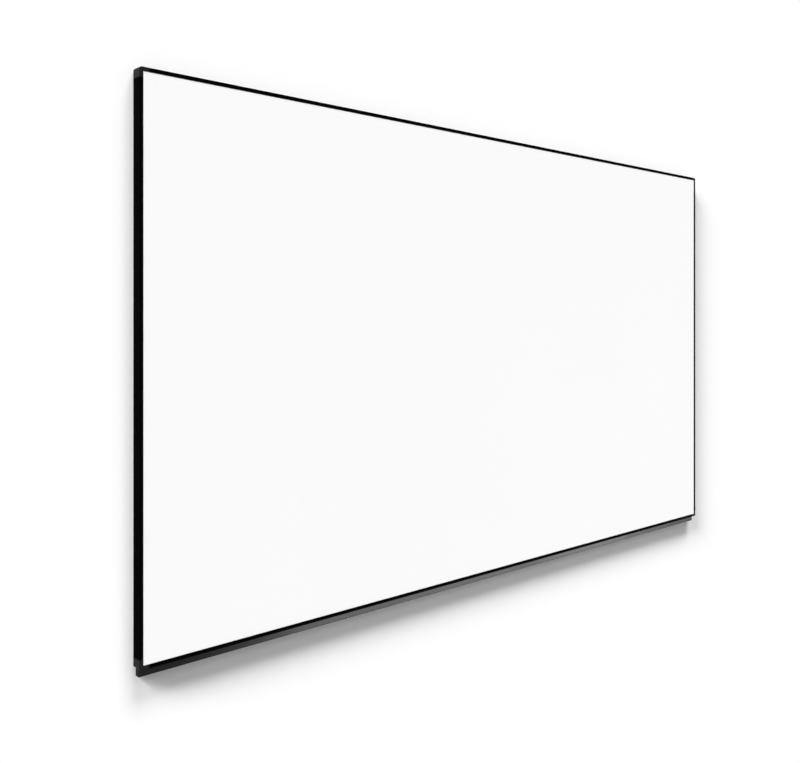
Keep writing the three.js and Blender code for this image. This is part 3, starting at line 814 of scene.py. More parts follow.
TRIM_GRAPHITE = Finish(
    "trim_graphite", (0.004, 0.004, 0.0041), (0.008, 0.008, 0.0082), 0.22, specular=0.15,
    grain_size=0.4 * MM, grain_depth=0.012 * MM, grain_share=0.4,
    edge_colour=(0.08, 0.08, 0.082), edge_share=0.4,
)
ALUMINIUM = Finish(
    "extruded_aluminium", (0.62, 0.63, 0.64), (0.42, 0.43, 0.44), 0.32, metallic=1.0,
    grain_size=2.2 * MM, grain_depth=0.03 * MM, grain_share=0.75, stretch_x=400.0, drift_size=0.3,
    edge_colour=(0.8, 0.81, 0.82), edge_share=0.5, dust=0.12,
)
ALUMINIUM_UPRIGHT = replace(
    ALUMINIUM, name="extruded_aluminium_upright", stretch_x=1.0, stretch_z=ALUMINIUM.stretch_x
)
ZINC = Finish(
    "zinc_plate", (0.5, 0.51, 0.52), (0.66, 0.67, 0.66), 0.3, metallic=1.0,
    grain_size=3.0 * MM, grain_depth=0.006 * MM, grain_share=0.6, drift_size=0.03,
    edge_colour=(0.75, 0.76, 0.76), edge_share=0.5,
)
SCREW_ZINC = Finish(
    "screw_zinc", (0.38, 0.39, 0.4), (0.5, 0.51, 0.52), 0.28, metallic=1.0,
    grain_size=0.8 * MM, grain_depth=0.01 * MM, drift_size=0.01,
    edge_colour=(0.7, 0.7, 0.7), edge_share=0.5,
)
SPRING_WIRE = Finish(
    "spring_wire", (0.55, 0.56, 0.57), (0.68, 0.69, 0.7), 0.22, metallic=1.0,
    grain_size=0.3 * MM, grain_depth=0.004 * MM, drift_size=0.02,
)
ROD_FIBRE = Finish(
    "rod_glass_fibre", (0.62, 0.6, 0.5), (0.74, 0.72, 0.62), 0.4, specular=0.5,
    grain_size=0.25 * MM, grain_depth=0.01 * MM, stretch_x=120.0, stretch_z=120.0, grain_share=0.4,
    drift_size=0.05,
)
BLACK_COAT = Finish(
    "black_powder_coat", (0.01, 0.01, 0.0105), (0.016, 0.016, 0.0165), 0.48, specular=0.4,
    grain_size=0.7 * MM, grain_depth=0.05 * MM, drift_size=0.05,
    edge_colour=(0.06, 0.06, 0.062), edge_share=0.35, dust=0.08,
)
BLACK_PLASTIC = Finish(
    "black_plastic", (0.011, 0.011, 0.0115), (0.017, 0.017, 0.0175), 0.5, specular=0.4,
    grain_size=0.4 * MM, grain_depth=0.04 * MM, drift_size=0.03,
    edge_colour=(0.05, 0.05, 0.05), edge_share=0.3,
)
RUBBER = Finish(
    "bumper_rubber", (0.012, 0.012, 0.012), (0.022, 0.022, 0.021), 0.85, specular=0.2,
    grain_size=0.5 * MM, grain_depth=0.05 * MM, drift_size=0.01,
)


class Finishes:
    """Builds each finish once and hands it out."""

    def __init__(self) -> None:
        """Makes the shared shader groups."""
        self.groups = {"grain": grain_group(), "edge": edge_group(), "dust": dust_group()}
        self.made: dict[Finish, bpy.types.Material] = {}

    def __getitem__(self, finish: Finish) -> bpy.types.Material:
        """Hands out the material of a finish, made on first use.

        Args:
            finish: The finish.

        Returns:
            Its material.
        """
        if finish not in self.made:
            self.made[finish] = finish.build(self.groups)
        return self.made[finish]


# Sub-assemblies


@dataclass
class Rails:
    """The six aluminium rails, which keep their packed form."""

    finishes: Finishes

    def dress(self, nodes: dict[str, bpy.types.Object]) -> None:
        """Gives each rail the draw lines that run along it.

        Args:
            nodes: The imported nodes' objects by name.
        """
        for name, piece in nodes.items():
            if "_rail_" not in name:
                continue
            finish = ALUMINIUM_UPRIGHT if name.startswith("side_") else ALUMINIUM
            piece.data.materials.clear()
            piece.data.materials.append(self.finishes[finish])
            LOG.info("dressed %s", name)


@dataclass
class Assembly:
    """Pieces that are placed by the picture and share its finishes."""

    picture: Picture
    finishes: Finishes

    def settle(self, piece: bpy.types.Object, slot: Slot, finish: Finish, node: str) -> None:
        """Gives a piece its finish and its body, and hides the node that it stands for.

        Args:
            piece: The new object.
            slot: The record's slot; not used.
            finish: The finish, for a piece that has none yet.
            node: The node that the piece replaces.
        """
        if not piece.data.materials:
            piece.data.materials.append(self.finishes[finish])
        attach(piece, BODY)
        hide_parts(node)
        LOG.info("made %s for %s", piece.name, node)

    def dress(
        self, draft: Draft, slot: Slot, finish: Finish, node: str, place: Matrix | None = None
    ) -> None:
        """Turns a draft into the one piece that stands for a node.

        Args:
            draft: The mesh in the making.
            slot: The record's slot; not used.
            finish: The finish.
            node: The node that the piece replaces.
            place: The matrix that the points are moved by.
        """
        self.settle(draft.object(f"dressed_{node}", place), slot, finish, node)


@dataclass
class Bezel(Assembly):
    """The snap-on bezel in six lengths and the four moulded caps at its corners."""

    wall: float = 1.5 * MM
    edge_radius: float = 1.2 * MM
    back_radius: float = 0.3 * MM
    lip_chamfer: float = 0.4 * MM
    lip_radius: float = 0.15 * MM
    bead_height: float = 1.3 * MM
    bead_land: float = 0.9 * MM
    bead_slope: float = 1.6 * MM
    bead_gap: float = 0.8 * MM
    corner_radius: float = 6.0 * MM
    edge_steps: int = 6
    corner_steps: int = 10
    weld_distance: float = 1e-6

    def section(self) -> list[Vector]:
        """Draws the section of the bezel: lip, front, side wall and snap bead.

        Returns:
            The closed line of (out, depth) points.
        """
        p = self.picture
        inner = p.bezel_width - self.wall
        bead = p.rail_back + self.bead_gap
        corners = [
            ((self.lip_chamfer, p.front), self.lip_radius),
            ((p.bezel_width, p.front), self.edge_radius),
            ((p.bezel_width, p.back), self.back_radius),
            ((inner, p.back), self.back_radius),
            ((inner, bead + self.bead_land + self.bead_slope), 0.0),
            ((inner - self.bead_height, bead + self.bead_land), 0.0),
            ((inner - self.bead_height, bead), 0.0),
            ((inner, bead), 0.0),
            ((inner, p.front + self.wall), 0.0),
            ((0.0, p.front + self.wall), 0.0),
            ((0.0, p.front + self.lip_chamfer), self.lip_radius),
        ]
        points, radii = zip(*corners)
        return rounded_line(points, radii, self.edge_steps, closed=True)

    def length(self, node: str, edge: Edge) -> None:
        """Makes the length of bezel that stands for a node.

        Args:
            node: The node's name.
            edge: The edge that it lies on.
        """
        low, high = self.picture.box_on_edge(node, edge)
        draft = Draft()
        draft.run(self.section(), low.x, high.x)
        self.dress(draft, Slot.BEZEL, BEZEL_BLACK, node, self.picture.edge_matrix(edge))

    def cap(self, corner: Corner) -> None:
        """Makes a corner cap by sweeping the bezel's section round the corner.

        Args:
            corner: The corner that it covers.
        """
        node = f"corner_cap_{corner.label}"
        low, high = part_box(node)
        arm = high[0] - low[0] - self.picture.bezel_width
        centre = self.picture.bezel_width - self.corner_radius

        def swept(p: Vector, turn: float) -> Point3:
            """A point of the section at a turn of the sweep, from the right side to the top."""
            hub, reach = min(p.x, centre), max(p.x - centre, 0.0)
            return hub + reach * math.cos(turn), p.y, hub + reach * math.sin(turn)

        section = self.section()
        rings = [[(p.x, p.y, -arm) for p in section]]
        for i in range(self.corner_steps + 1):
            turn = math.pi / 2 * i / self.corner_steps
            rings.append([swept(p, turn) for p in section])
        rings.append([(-arm, p.y, p.x) for p in section])
        draft = Draft()
        draft.loft(rings)
        draft.weld(self.weld_distance)
        self.dress(draft, Slot.CAP, CAP_GREY, node, self.picture.corner_matrix(corner))

    def build(self) -> None:
        """Makes all the bezel lengths and corner caps."""
        for edge in LONG_EDGES:
            for hand in HANDS:
                self.length(f"{edge.label}_bezel_{hand}", edge)
        for edge in SIDE_EDGES:
            self.length(f"side_bezel_{edge.label}", edge)
        for corner in Corner:
            self.cap(corner)


@dataclass
class SpringRows(Assembly):
    """The rods in the hem, their hook springs, and where each spring sits."""

    first: float = 60.0 * MM
    hem_clearance: float = 80.0 * MM
    hem_margin: float = 17.0 * MM
    half_count: int = 6
    side_count: int = 7
    rod_radius: float = 2.0 * MM
    rod_chamfer: float = 0.4 * MM
    rod_sides: int = 20
    hem_inset: float = 12.2 * MM
    sleeve_radius: float = 2.6 * MM
    wire: float = 0.8 * MM
    wire_sides: int = 8
    wire_smooth_angle: float = 60.0
    loop_gap: float = 0.02 * MM
    loop_points: int = 13
    loop_start: float = 30.0
    loop_step: float = 25.0
    neck: float = 5.5 * MM
    neck_depth: float = 0.3 * MM
    neck_drop: float = 1.6 * MM
    coil_radius: float = 2.1 * MM
    coil_end_share: float = 0.35
    body: float = 16.0 * MM
    turns: int = 12
    turn_steps: int = 14
    lip_length: float = 8.0 * MM
    lip_inset: float = 10.0 * MM
    lip_wall: float = 1.6 * MM
    lip_gap: float = 0.15 * MM
    lip_back_gap: float = 0.1 * MM
    hook_start: float = 0.6 * MM
    hook_rise: float = 2.6 * MM
    hook_tail: float = 4.0 * MM
    hook_radii: tuple[float, ...] = (0.0, 1.0 * MM, 0.9 * MM, 0.7 * MM, 0.0)

    @property
    def rod_out(self) -> float:
        """How far outward from the picture's edge the rod lies."""
        return self.picture.rail_out - self.hem_inset

    @property
    def rod_depth(self) -> float:
        """The depth of the rod's axis."""
        return self.picture.rail_back + SEAT + self.sleeve_radius

    def hem_end(self, edge: Edge) -> float:
        """The station at which the hem ends."""
        return self.picture.half_length(edge) - self.hem_clearance

    def stations(self, edge: Edge) -> list[float]:
        """The stations of an edge's springs.

        Args:
            edge: The edge of the picture.

        Returns:
            The stations along the edge, in order.
        """
        last = self.hem_end(edge) - self.hem_margin
        if not edge.is_long:
            pitch = 2 * last / (self.side_count - 1)
            return [-last + i * pitch for i in range(self.side_count)]
        pitch = (last - self.first) / (self.half_count - 1)
        half = [self.first + i * pitch for i in range(self.half_count)]
        return [-x for x in reversed(half)] + half

    def wire_path(self) -> list[Vector]:
        """The middle line of one spring at station 0: loop, coil and hook.

        Returns:
            The points of the path in the edge's frame.
        """
        loop = self.rod_radius + self.wire / 2 + self.loop_gap
        out, depth = self.rod_out, self.rod_depth
        path = []
        for i in range(self.loop_points):
            turn = math.radians(self.loop_start + i * self.loop_step)
            path.append(Vector((0.0, depth + loop * math.sin(turn), out - loop * math.cos(turn))))
        path.append(Vector((0.0, depth - self.neck_depth, out - loop - self.neck_drop)))
        coil_start = out - self.neck
        steps = self.turns * self.turn_steps
        half_turn = self.turn_steps / 2
        for i in range(steps + 1):
            turn = 2 * math.pi * i / self.turn_steps - math.pi / 2
            grow = min(1.0, i / half_turn, (steps - i) / half_turn)
            radius = self.coil_radius * (self.coil_end_share + (1 - self.coil_end_share) * grow)
            along = coil_start - self.body * i / steps
            path.append(Vector((radius * math.cos(turn), depth + radius * math.sin(turn), along)))
        coil_end = coil_start - self.body
        lip_end = self.picture.rail_in + self.lip_inset - self.lip_length
        over = self.picture.lip_back + self.wire / 2 + self.lip_back_gap
        past = lip_end - self.wire / 2 - self.lip_gap
        under = self.picture.lip_back - self.lip_wall - self.wire / 2 - self.lip_gap
        bends = [
            (coil_end - self.hook_start, depth),
            (coil_end - self.hook_rise, over),
            (past, over),
            (past, under),
            (past + self.hook_tail, under),
        ]
        hook = rounded_line(bends, self.hook_radii, ROUND_STEPS, closed=False)
        return path + [Vector((0.0, p.y, p.x)) for p in hook]

    def row(self, node: str, edge: Edge) -> None:
        """Makes the rod and the springs that stand for a tension row.

        Args:
            node: The node's name.
            edge: The edge that the row lies on.
        """
        place = self.picture.edge_matrix(edge)
        box_low, box_high = self.picture.box_on_edge(node, edge)
        low, high = box_low.x, box_high.x
        radius, chamfer = self.rod_radius, self.rod_chamfer
        profile = [
            (0.0, low),
            (radius - chamfer, low),
            (radius, low + chamfer),
            (radius, high - chamfer),
            (radius - chamfer, high),
            (0.0, high),
        ]
        axis = Matrix.Translation((0.0, self.rod_depth, self.rod_out))
        rod = Draft()
        rod.lathe(profile, self.rod_sides, axis @ Matrix.Rotation(-math.pi / 2, 4, "Z"))
        self.settle(rod.object(f"rod_{node}", place), Slot.SPRING, ROD_FIBRE, node)
        path = self.wire_path()
        held = [x for x in self.stations(edge) if low < x < high]
        for number, x in enumerate(held, start=1):
            draft = Draft()
            shift = Vector((x, 0.0, 0.0))
            draft.tube([point + shift for point in path], self.wire / 2, self.wire_sides)
            spring = draft.object(f"spring_{node}_{number}", place, self.wire_smooth_angle)
            self.settle(spring, Slot.SPRING, SPRING_WIRE, node)

    def build(self) -> None:
        """Makes all six rows."""
        for edge in LONG_EDGES:
            for hand in HANDS:
                self.row(f"tension_row_{edge.label}_{hand}", edge)
        for edge in SIDE_EDGES:
            self.row(f"tension_row_{edge.label}", edge)


@dataclass
class PictureSheet(Assembly):
    """The white film: a flat front, four flaps round the rails and a notched sleeve for each rod."""

    rows: SpringRows
    thickness: float = 0.4 * MM
    bend: float = 1.4 * MM
    bezel_wall: float = 1.5 * MM
    side_margin: float = 1.0 * MM
    wrap_radius: float = 0.9 * MM
    sleeve_lead: float = 1.2 * MM
    corner_notch: float = 4.0 * MM
    hem_notch: float = 10.0 * MM
    sleeve_steps: int = 20
    station_digits: int = 7
    station_tolerance: float = 1e-6
    weld_distance: float = 2e-6

    def line(self) -> tuple[list[Vector], int, int]:
        """The middle line of a flap from the picture's edge to the end of the sleeve.

        Returns:
            The points, the index of the last one on the side wall, and the first that a notch cuts.
        """
        p, half = self.picture, self.thickness / 2
        front = p.front + self.bezel_wall + SEAT + half
        out = p.bezel_width - self.bezel_wall - SEAT - half
        flap = p.rail_back + SEAT + half
        side_end = p.rail_back - self.side_margin
        rod_out, rod_depth = self.rows.rod_out, self.rows.rod_depth
        loop = self.rows.sleeve_radius - half
        side = [(0.0, front), (out, front), (out, side_end)]
        first = rounded_line(side, [self.bend] * 3, ROUND_STEPS, closed=False)
        corner = [(out, side_end), (out, flap), (rod_out + loop + self.sleeve_lead, flap)]
        wrap = rounded_line(corner, [0.0, self.wrap_radius, 0.0], ROUND_STEPS, closed=False)[1:]
        sleeve = [Vector((rod_out, flap))]
        for cos, sin in circle(self.sleeve_steps)[1:]:
            sleeve.append(Vector((rod_out - loop * sin, rod_depth - loop * cos)))
        return first + wrap + sleeve, len(first) - 1, len(first) + len(wrap) - 1

    def columns(self, edge: Edge) -> list[float]:
        """Finds where the flap's columns of points stand along an edge.

        Args:
            edge: The edge of the picture.

        Returns:
            The stations, in order.
        """
        ends = [self.picture.half_length(edge) - self.corner_notch, self.rows.hem_end(edge)]
        marks = [sign * x for x in ends for sign in (-1, 1)]
        for x in self.rows.stations(edge):
            marks += [x - self.hem_notch / 2, x + self.hem_notch / 2]
        return sorted({round(x, self.station_digits) for x in marks})

    def build(self) -> None:
        p = self.picture
        profile, side_last, notch_from = self.line()
        depth = profile[0].y
        draft = Draft()
        across = [-p.half_width, *self.columns(Edge.TOP), p.half_width]
        upward = [-p.half_height, *self.columns(Edge.LEFT), p.half_height]
        grid = [[draft.mesh.verts.new((x, depth, p.centre + z)) for x in across] for z in upward]
        for low_row, high_row in zip(grid, grid[1:]):
            for i in range(len(across) - 1):
                draft.mesh.faces.new((low_row[i], low_row[i + 1], high_row[i + 1], high_row[i]))
        for edge in Edge:
            self._flap(draft, edge, profile, side_last, notch_from)
        draft.weld(self.weld_distance)
        sheet = self._thicken(draft)
        reach = sum((b - a).length for a, b in zip(profile, profile[1:]))

    def _flap(
        self, draft: Draft, edge: Edge, profile: Sequence[Vector], side_last: int, notch_from: int
    ) -> None:
        """Adds the flap of one edge, with its short side wall beyond the hem and its notches.

        Args:
            draft: The sheet's mesh in the making.
            edge: The edge of the picture.
            profile: The flap's middle line.
            side_last: The index of its last point on the side wall.
            notch_from: The index of the first point that a notch cuts.
        """
        place = self.picture.edge_matrix(edge)
        stations = self.columns(edge)
        springs = self.rows.stations(edge)
        hem_end = self.rows.hem_end(edge) + self.station_tolerance
        table = [[draft.mesh.verts.new(place @ Vector((x, p.y, p.x))) for p in profile] for x in stations]
        for i in range(len(stations) - 1):
            middle = (stations[i] + stations[i + 1]) / 2
            last = len(profile) - 1
            if abs(middle) > hem_end:
                last = side_last
            elif any(abs(middle - x) < self.hem_notch / 2 for x in springs):
                last = notch_from
            near, far = table[i], table[i + 1]
            for k in range(last):
                draft.mesh.faces.new((near[k], far[k], far[k + 1], near[k + 1]))
        loose = [v for column in table for v in column if not v.link_faces]
        bmesh.ops.delete(draft.mesh, geom=loose, context="VERTS")

    def _thicken(self, draft: Draft) -> bpy.types.Object:
        """Gives the sheet its thickness, white on its face and black on its back.

        Args:
            draft: The sheet's mesh in the making.

        Returns:
            The sheet's object.
        """
        bmesh.ops.recalc_face_normals(draft.mesh, faces=draft.mesh.faces)
        front = max(draft.mesh.faces, key=lambda face: face.calc_area())
        if front.normal.y > 0:
            bmesh.ops.reverse_faces(draft.mesh, faces=draft.mesh.faces)
        data = bpy.data.meshes.new("picture_film")
        draft.mesh.to_mesh(data)
        draft.mesh.free()
        sheet = add_object("picture_film", data)
        data.materials.append(self.finishes[FILM_FRONT])
        data.materials.append(self.finishes[FILM_BACK])
        solid = sheet.modifiers.new("thickness", "SOLIDIFY")
        solid.thickness = self.thickness
        solid.offset = 0.0
        solid.material_offset = 1
        solid.material_offset_rim = 0
        apply_modifiers(sheet)
        self.settle(sheet, Slot.SHEET, FILM_FRONT, "screen_membrane")
        return sheet


@dataclass
class Fasteners(Assembly):
    """Pan-head screws with a cross recess, and the plates that they hold."""

    head_radius: float = 3.5 * MM
    head_height: float = 2.2 * MM
    head_profile: tuple[Point, ...] = (
        (0.97, 0.0), (1.0, 0.12), (1.0, 0.42), (0.93, 0.68), (0.78, 0.88), (0.5, 0.98)
    )
    shank_radius: float = 1.7 * MM
    shank_length: float = 7.0 * MM
    tip_share: float = 0.6
    recess_length: float = 4.2 * MM
    recess_width: float = 0.9 * MM
    recess_depth: float = 1.3 * MM
    recess_overshoot: float = 1.0 * MM
    sides: int = 24
    plate_width: float = 20.5 * MM
    plate_inset: float = 16.2 * MM
    plate_thickness: float = 2.0 * MM
    plate_corner: float = 2.0 * MM
    plate_crook: float = 3.0 * MM
    plate_edge: float = 0.25 * MM
    corner_reach: float = 83.0 * MM
    corner_screws: tuple[float, ...] = (45.0 * MM, 70.0 * MM)

    @property
    def plate_out(self) -> float:
        """The middle of a plate's width, outward from the picture's edge."""
        return self.picture.rail_out - self.plate_inset - self.plate_width / 2

    def screw(self, name: str, seat: Matrix, shank: float, node: str, scale: float = 1.0) -> None:
        """Makes a screw.

        Args:
            name: The object's name.
            seat: The seat of the head; the head stands on +Y and the shank goes to -Y.
            shank: The length of the shank.
            node: The node that it stands for.
            scale: The size of the head against the usual one.
        """
        r, h, s = (size * scale for size in (self.head_radius, self.head_height, self.shank_radius))
        tip = [(0.0, -shank), (s * self.tip_share, -shank), (s, -shank + s), (s, 0.0)]
        head = [(r * out, h * up) for out, up in self.head_profile]
        draft = Draft()
        draft.lathe([*tip, *head, (0.0, h)], self.sides, Matrix.Identity(4))
        screw = draft.object(name)
        cutters = []
        length, width = self.recess_length * scale / 2, self.recess_width * scale / 2
        floor = h - self.recess_depth * scale
        for x, z in ((length, width), (width, length)):
            arm = Draft()
            arm.box((-x, floor, -z), (x, h + self.recess_overshoot, z))
            cutters.append(arm.object("recess_arm"))
        subtract(screw, cutters)
        screw.data.transform(seat)
        self.settle(screw, Slot.SCREW, SCREW_ZINC, node)

    def plate(self, outline: Sequence[Vector], node: str, place: Matrix) -> None:
        """Makes one steel plate on the rails' back.

        Args:
            outline: The plate's (along, out) outline.
            node: The node that it stands for.
            place: The frame that the outline is drawn in.
        """
        front = self.picture.rail_back + SEAT
        draft = Draft()
        draft.plate(outline, front, front + self.plate_thickness)
        draft.bevel(self.plate_edge)
        self.dress(draft, Slot.PLATE, ZINC, node, place)

    def plates(self) -> None:
        """Makes the corner plates and the splice plates with their screws."""
        out = self.plate_out
        near, far, end = out + self.plate_width / 2, out - self.plate_width / 2, -self.corner_reach
        back = self.picture.rail_back + SEAT + self.plate_thickness
        corners = [(near, near), (near, end), (far, end), (far, far), (end, far), (end, near)]
        radii = [self.plate_corner] * 6
        radii[3] = self.plate_crook
        bent = rounded_line(corners, radii, ROUND_STEPS, closed=True)
        seats = [(-reach, out) for reach in self.corner_screws]
        seats += [(out, -reach) for reach in self.corner_screws]
        for corner in Corner:
            node = f"corner_plate_{corner.label}"
            place = self.picture.corner_matrix(corner)
            self.plate(bent, node, place)
            for number, (x, z) in enumerate(seats, start=1):
                seat = place @ Matrix.Translation((x, back, z))
                self.screw(f"{node}_screw_{number}", seat, self.shank_length, node)
        for edge in LONG_EDGES:
            node = f"splice_plate_{edge.label}"
            low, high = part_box(node)
            half = (high[0] - low[0]) / 2
            rounding = [self.plate_corner] * 4
            straight = rounded_rectangle((-half, far), (half, near), rounding, ROUND_STEPS)
            self.plate(straight, node, self.picture.edge_matrix(edge))

    def loose_screws(self) -> None:
        """Makes the screws that are nodes of their own, each on its own seat."""
        for edge in LONG_EDGES:
            for hand in HANDS:
                for number in (1, 2):
                    node = f"splice_screw_{edge.label}_{hand}_{number}"
                    low, high, middle = node_box(node)
                    seat = Matrix.Translation((middle.x, high.y - self.head_height, middle.z))
                    self.screw(f"dressed_{node}", seat, high.y - self.head_height - low.y, node)
                node = f"support_screw_{edge.label}_{hand}"
                low, high, middle = node_box(node)
                up = 1 if edge is Edge.TOP else -1
                seat_z = low.z + self.head_height if up > 0 else high.z - self.head_height
                turn = Matrix.Rotation(-up * math.pi / 2, 4, "X")
                seat = Matrix.Translation((middle.x, middle.y, seat_z)) @ turn
                self.screw(f"dressed_{node}", seat, (high.z - low.z) - self.head_height, node)

    def build(self) -> None:
        """Makes all plates and screws."""
        self.plates()
        self.loose_screws()


@dataclass
class LowerTrim(Assembly):
    """The graphite channel under the bottom bezel, with its short screws and moulded ends."""

    fasteners: Fasteners
    wall: float = 1.5 * MM
    bend: float = 1.2 * MM
    screws: int = 4
    first_screw: float = 70.0 * MM
    screw_end_margin: float = 60.0 * MM
    screw_depth: float = 7.0 * MM
    screw_shank: float = 5.0 * MM
    screw_scale: float = 0.78
    end_back_radius: float = 0.5 * MM
    end_edge: float = 0.35 * MM
    plug: float = 8.0 * MM
    plug_overlap: float = 0.5 * MM
    plug_back_gap: float = 0.4 * MM

    def halves(self) -> None:
        """Makes the two channels and their screws."""
        place = self.picture.edge_matrix(Edge.BOTTOM)
        inner = self.picture.bezel_width + SEAT
        last = self.picture.half_width - self.screw_end_margin
        pitch = (last - self.first_screw) / (self.screws - 1)
        for hand, sign in zip(HANDS, (1, -1)):
            node = f"lower_trim_{hand}"
            low, high = self.picture.box_on_edge(node, Edge.BOTTOM)
            top, bottom = inner + self.wall / 2, high.z - self.wall / 2
            web = low.y + self.wall / 2
            line = [(top, high.y), (top, web), (bottom, web), (bottom, high.y)]
            draft = Draft()
            draft.run(folded_section(line, self.wall, self.bend), low.x, high.x)
            self.dress(draft, Slot.TRIM, TRIM_GRAPHITE, node, place)
            for number in range(self.screws):
                x = sign * (self.first_screw + number * pitch)
                seat = place @ Matrix.Translation((x, -self.screw_depth, inner + self.wall))
                seat = seat @ Matrix.Rotation(math.pi / 2, 4, "X")
                name = f"{node}_screw_{number + 1}"
                self.fasteners.screw(name, seat, self.screw_shank, node, self.screw_scale)

    def ends(self) -> None:
        """Makes the moulded ends with a softly rounded outer face."""
        place = self.picture.edge_matrix(Edge.BOTTOM)
        radii = [self.bend, self.bend, self.end_back_radius, self.end_back_radius]
        inset = self.wall + SEAT
        for hand, sign in zip(HANDS, (1, -1)):
            node = f"lower_trim_end_{hand}"
            low, high = self.picture.box_on_edge(node, Edge.BOTTOM)
            face = high.x if sign > 0 else low.x
            wall = face - sign * self.wall
            draft = Draft()
            outline = rounded_rectangle((low.z, low.y), (high.z, high.y), radii, FOLD_STEPS)
            draft.run(outline, wall, face)
            draft.bevel(self.end_edge, segments=3, least_turn=60.0)
            x_low, x_high = sorted((wall - sign * self.plug, wall + sign * self.plug_overlap))
            draft.box(
                (x_low, low.y + inset + SEAT, low.z + inset),
                (x_high, high.y - self.plug_back_gap, high.z - inset),
            )
            self.dress(draft, Slot.TRIM_END, CAP_GREY, node, place)

    def build(self) -> None:
        """Makes the channels, the screws and the ends."""
        self.halves()
        self.ends()


@dataclass
class CentreSupport(Assembly):
    """The upright tube behind the sheet and the moulded foot at each end."""

    tube_wall: float = 1.2 * MM
    corner: float = 2.0 * MM
    foot_thickness: float = 2.0 * MM
    foot_edge: float = 0.5 * MM
    foot_hole: float = 2.0 * MM
    foot_screw: float = 30.0 * MM
    hole_sides: int = 20
    plug_gap: float = 0.2 * MM
    plug_overlap: float = 0.5 * MM
    plug_edge: float = 0.6 * MM

    def bar(self) -> None:
        """Makes the tube."""
        low, high, middle = node_box("support_bar")

        def outline(inset: float) -> list[Vector]:
            """Draws the tube's section.

            Args:
                inset: How far inside the outer face it lies.

            Returns:
                The closed line of the section.
            """
            x, y = (high.x - low.x) / 2 - inset, (high.y - low.y) / 2 - inset
            corners = (middle.x - x, middle.y - y), (middle.x + x, middle.y + y)
            return rounded_rectangle(*corners, [self.corner - inset] * 4, ROUND_STEPS)

        outer, inner = outline(0.0), outline(self.tube_wall)
        walls = ((outer, low.z), (outer, high.z), (inner, high.z), (inner, low.z))
        draft = Draft()
        draft.skin([[(p.x, p.y, z) for p in line] for line, z in walls], closed=True)
        self.dress(draft, Slot.BAR, BLACK_COAT, "support_bar")

    def foot(self, edge: Edge) -> None:
        """Makes one foot: a screwed plate and the plug that enters the tube.

        Args:
            edge: The edge whose rails it is screwed to.
        """
        node = f"support_foot_{edge.label}"
        place = self.picture.edge_matrix(edge)
        low, high = self.picture.box_on_edge(node, edge)
        middle = (low.y + high.y) / 2
        seat = high.z - self.foot_thickness
        draft = Draft()
        draft.box((low.x, low.y, seat), high)
        draft.bevel(self.foot_edge, segments=3)
        piece = draft.object(f"dressed_{node}")
        upright = Matrix.Rotation(math.pi / 2, 4, "X")
        stations = (-self.foot_screw, self.foot_screw)
        holes = [Matrix.Translation((x, middle, seat)) @ upright for x in stations]
        drill(piece, self.foot_hole, 2 * self.foot_thickness, holes, self.hole_sides)
        piece.data.transform(place)
        self.settle(piece, Slot.FOOT, BLACK_PLASTIC, node)
        bar_low, bar_high, _ = node_box("support_bar")
        inset = self.tube_wall + self.plug_gap
        x, y = (bar_high - bar_low).xy / 2 - Vector((inset, inset))
        plug = Draft()
        plug.box((-x, middle - y, low.z), (x, middle + y, seat + self.plug_overlap))
        plug.bevel(self.plug_edge)
        self.settle(plug.object(f"plug_{node}", place), Slot.FOOT, BLACK_PLASTIC, node)

    def build(self) -> None:
        """Makes the tube and both feet."""
        self.bar()
        for edge in LONG_EDGES:
            self.foot(edge)


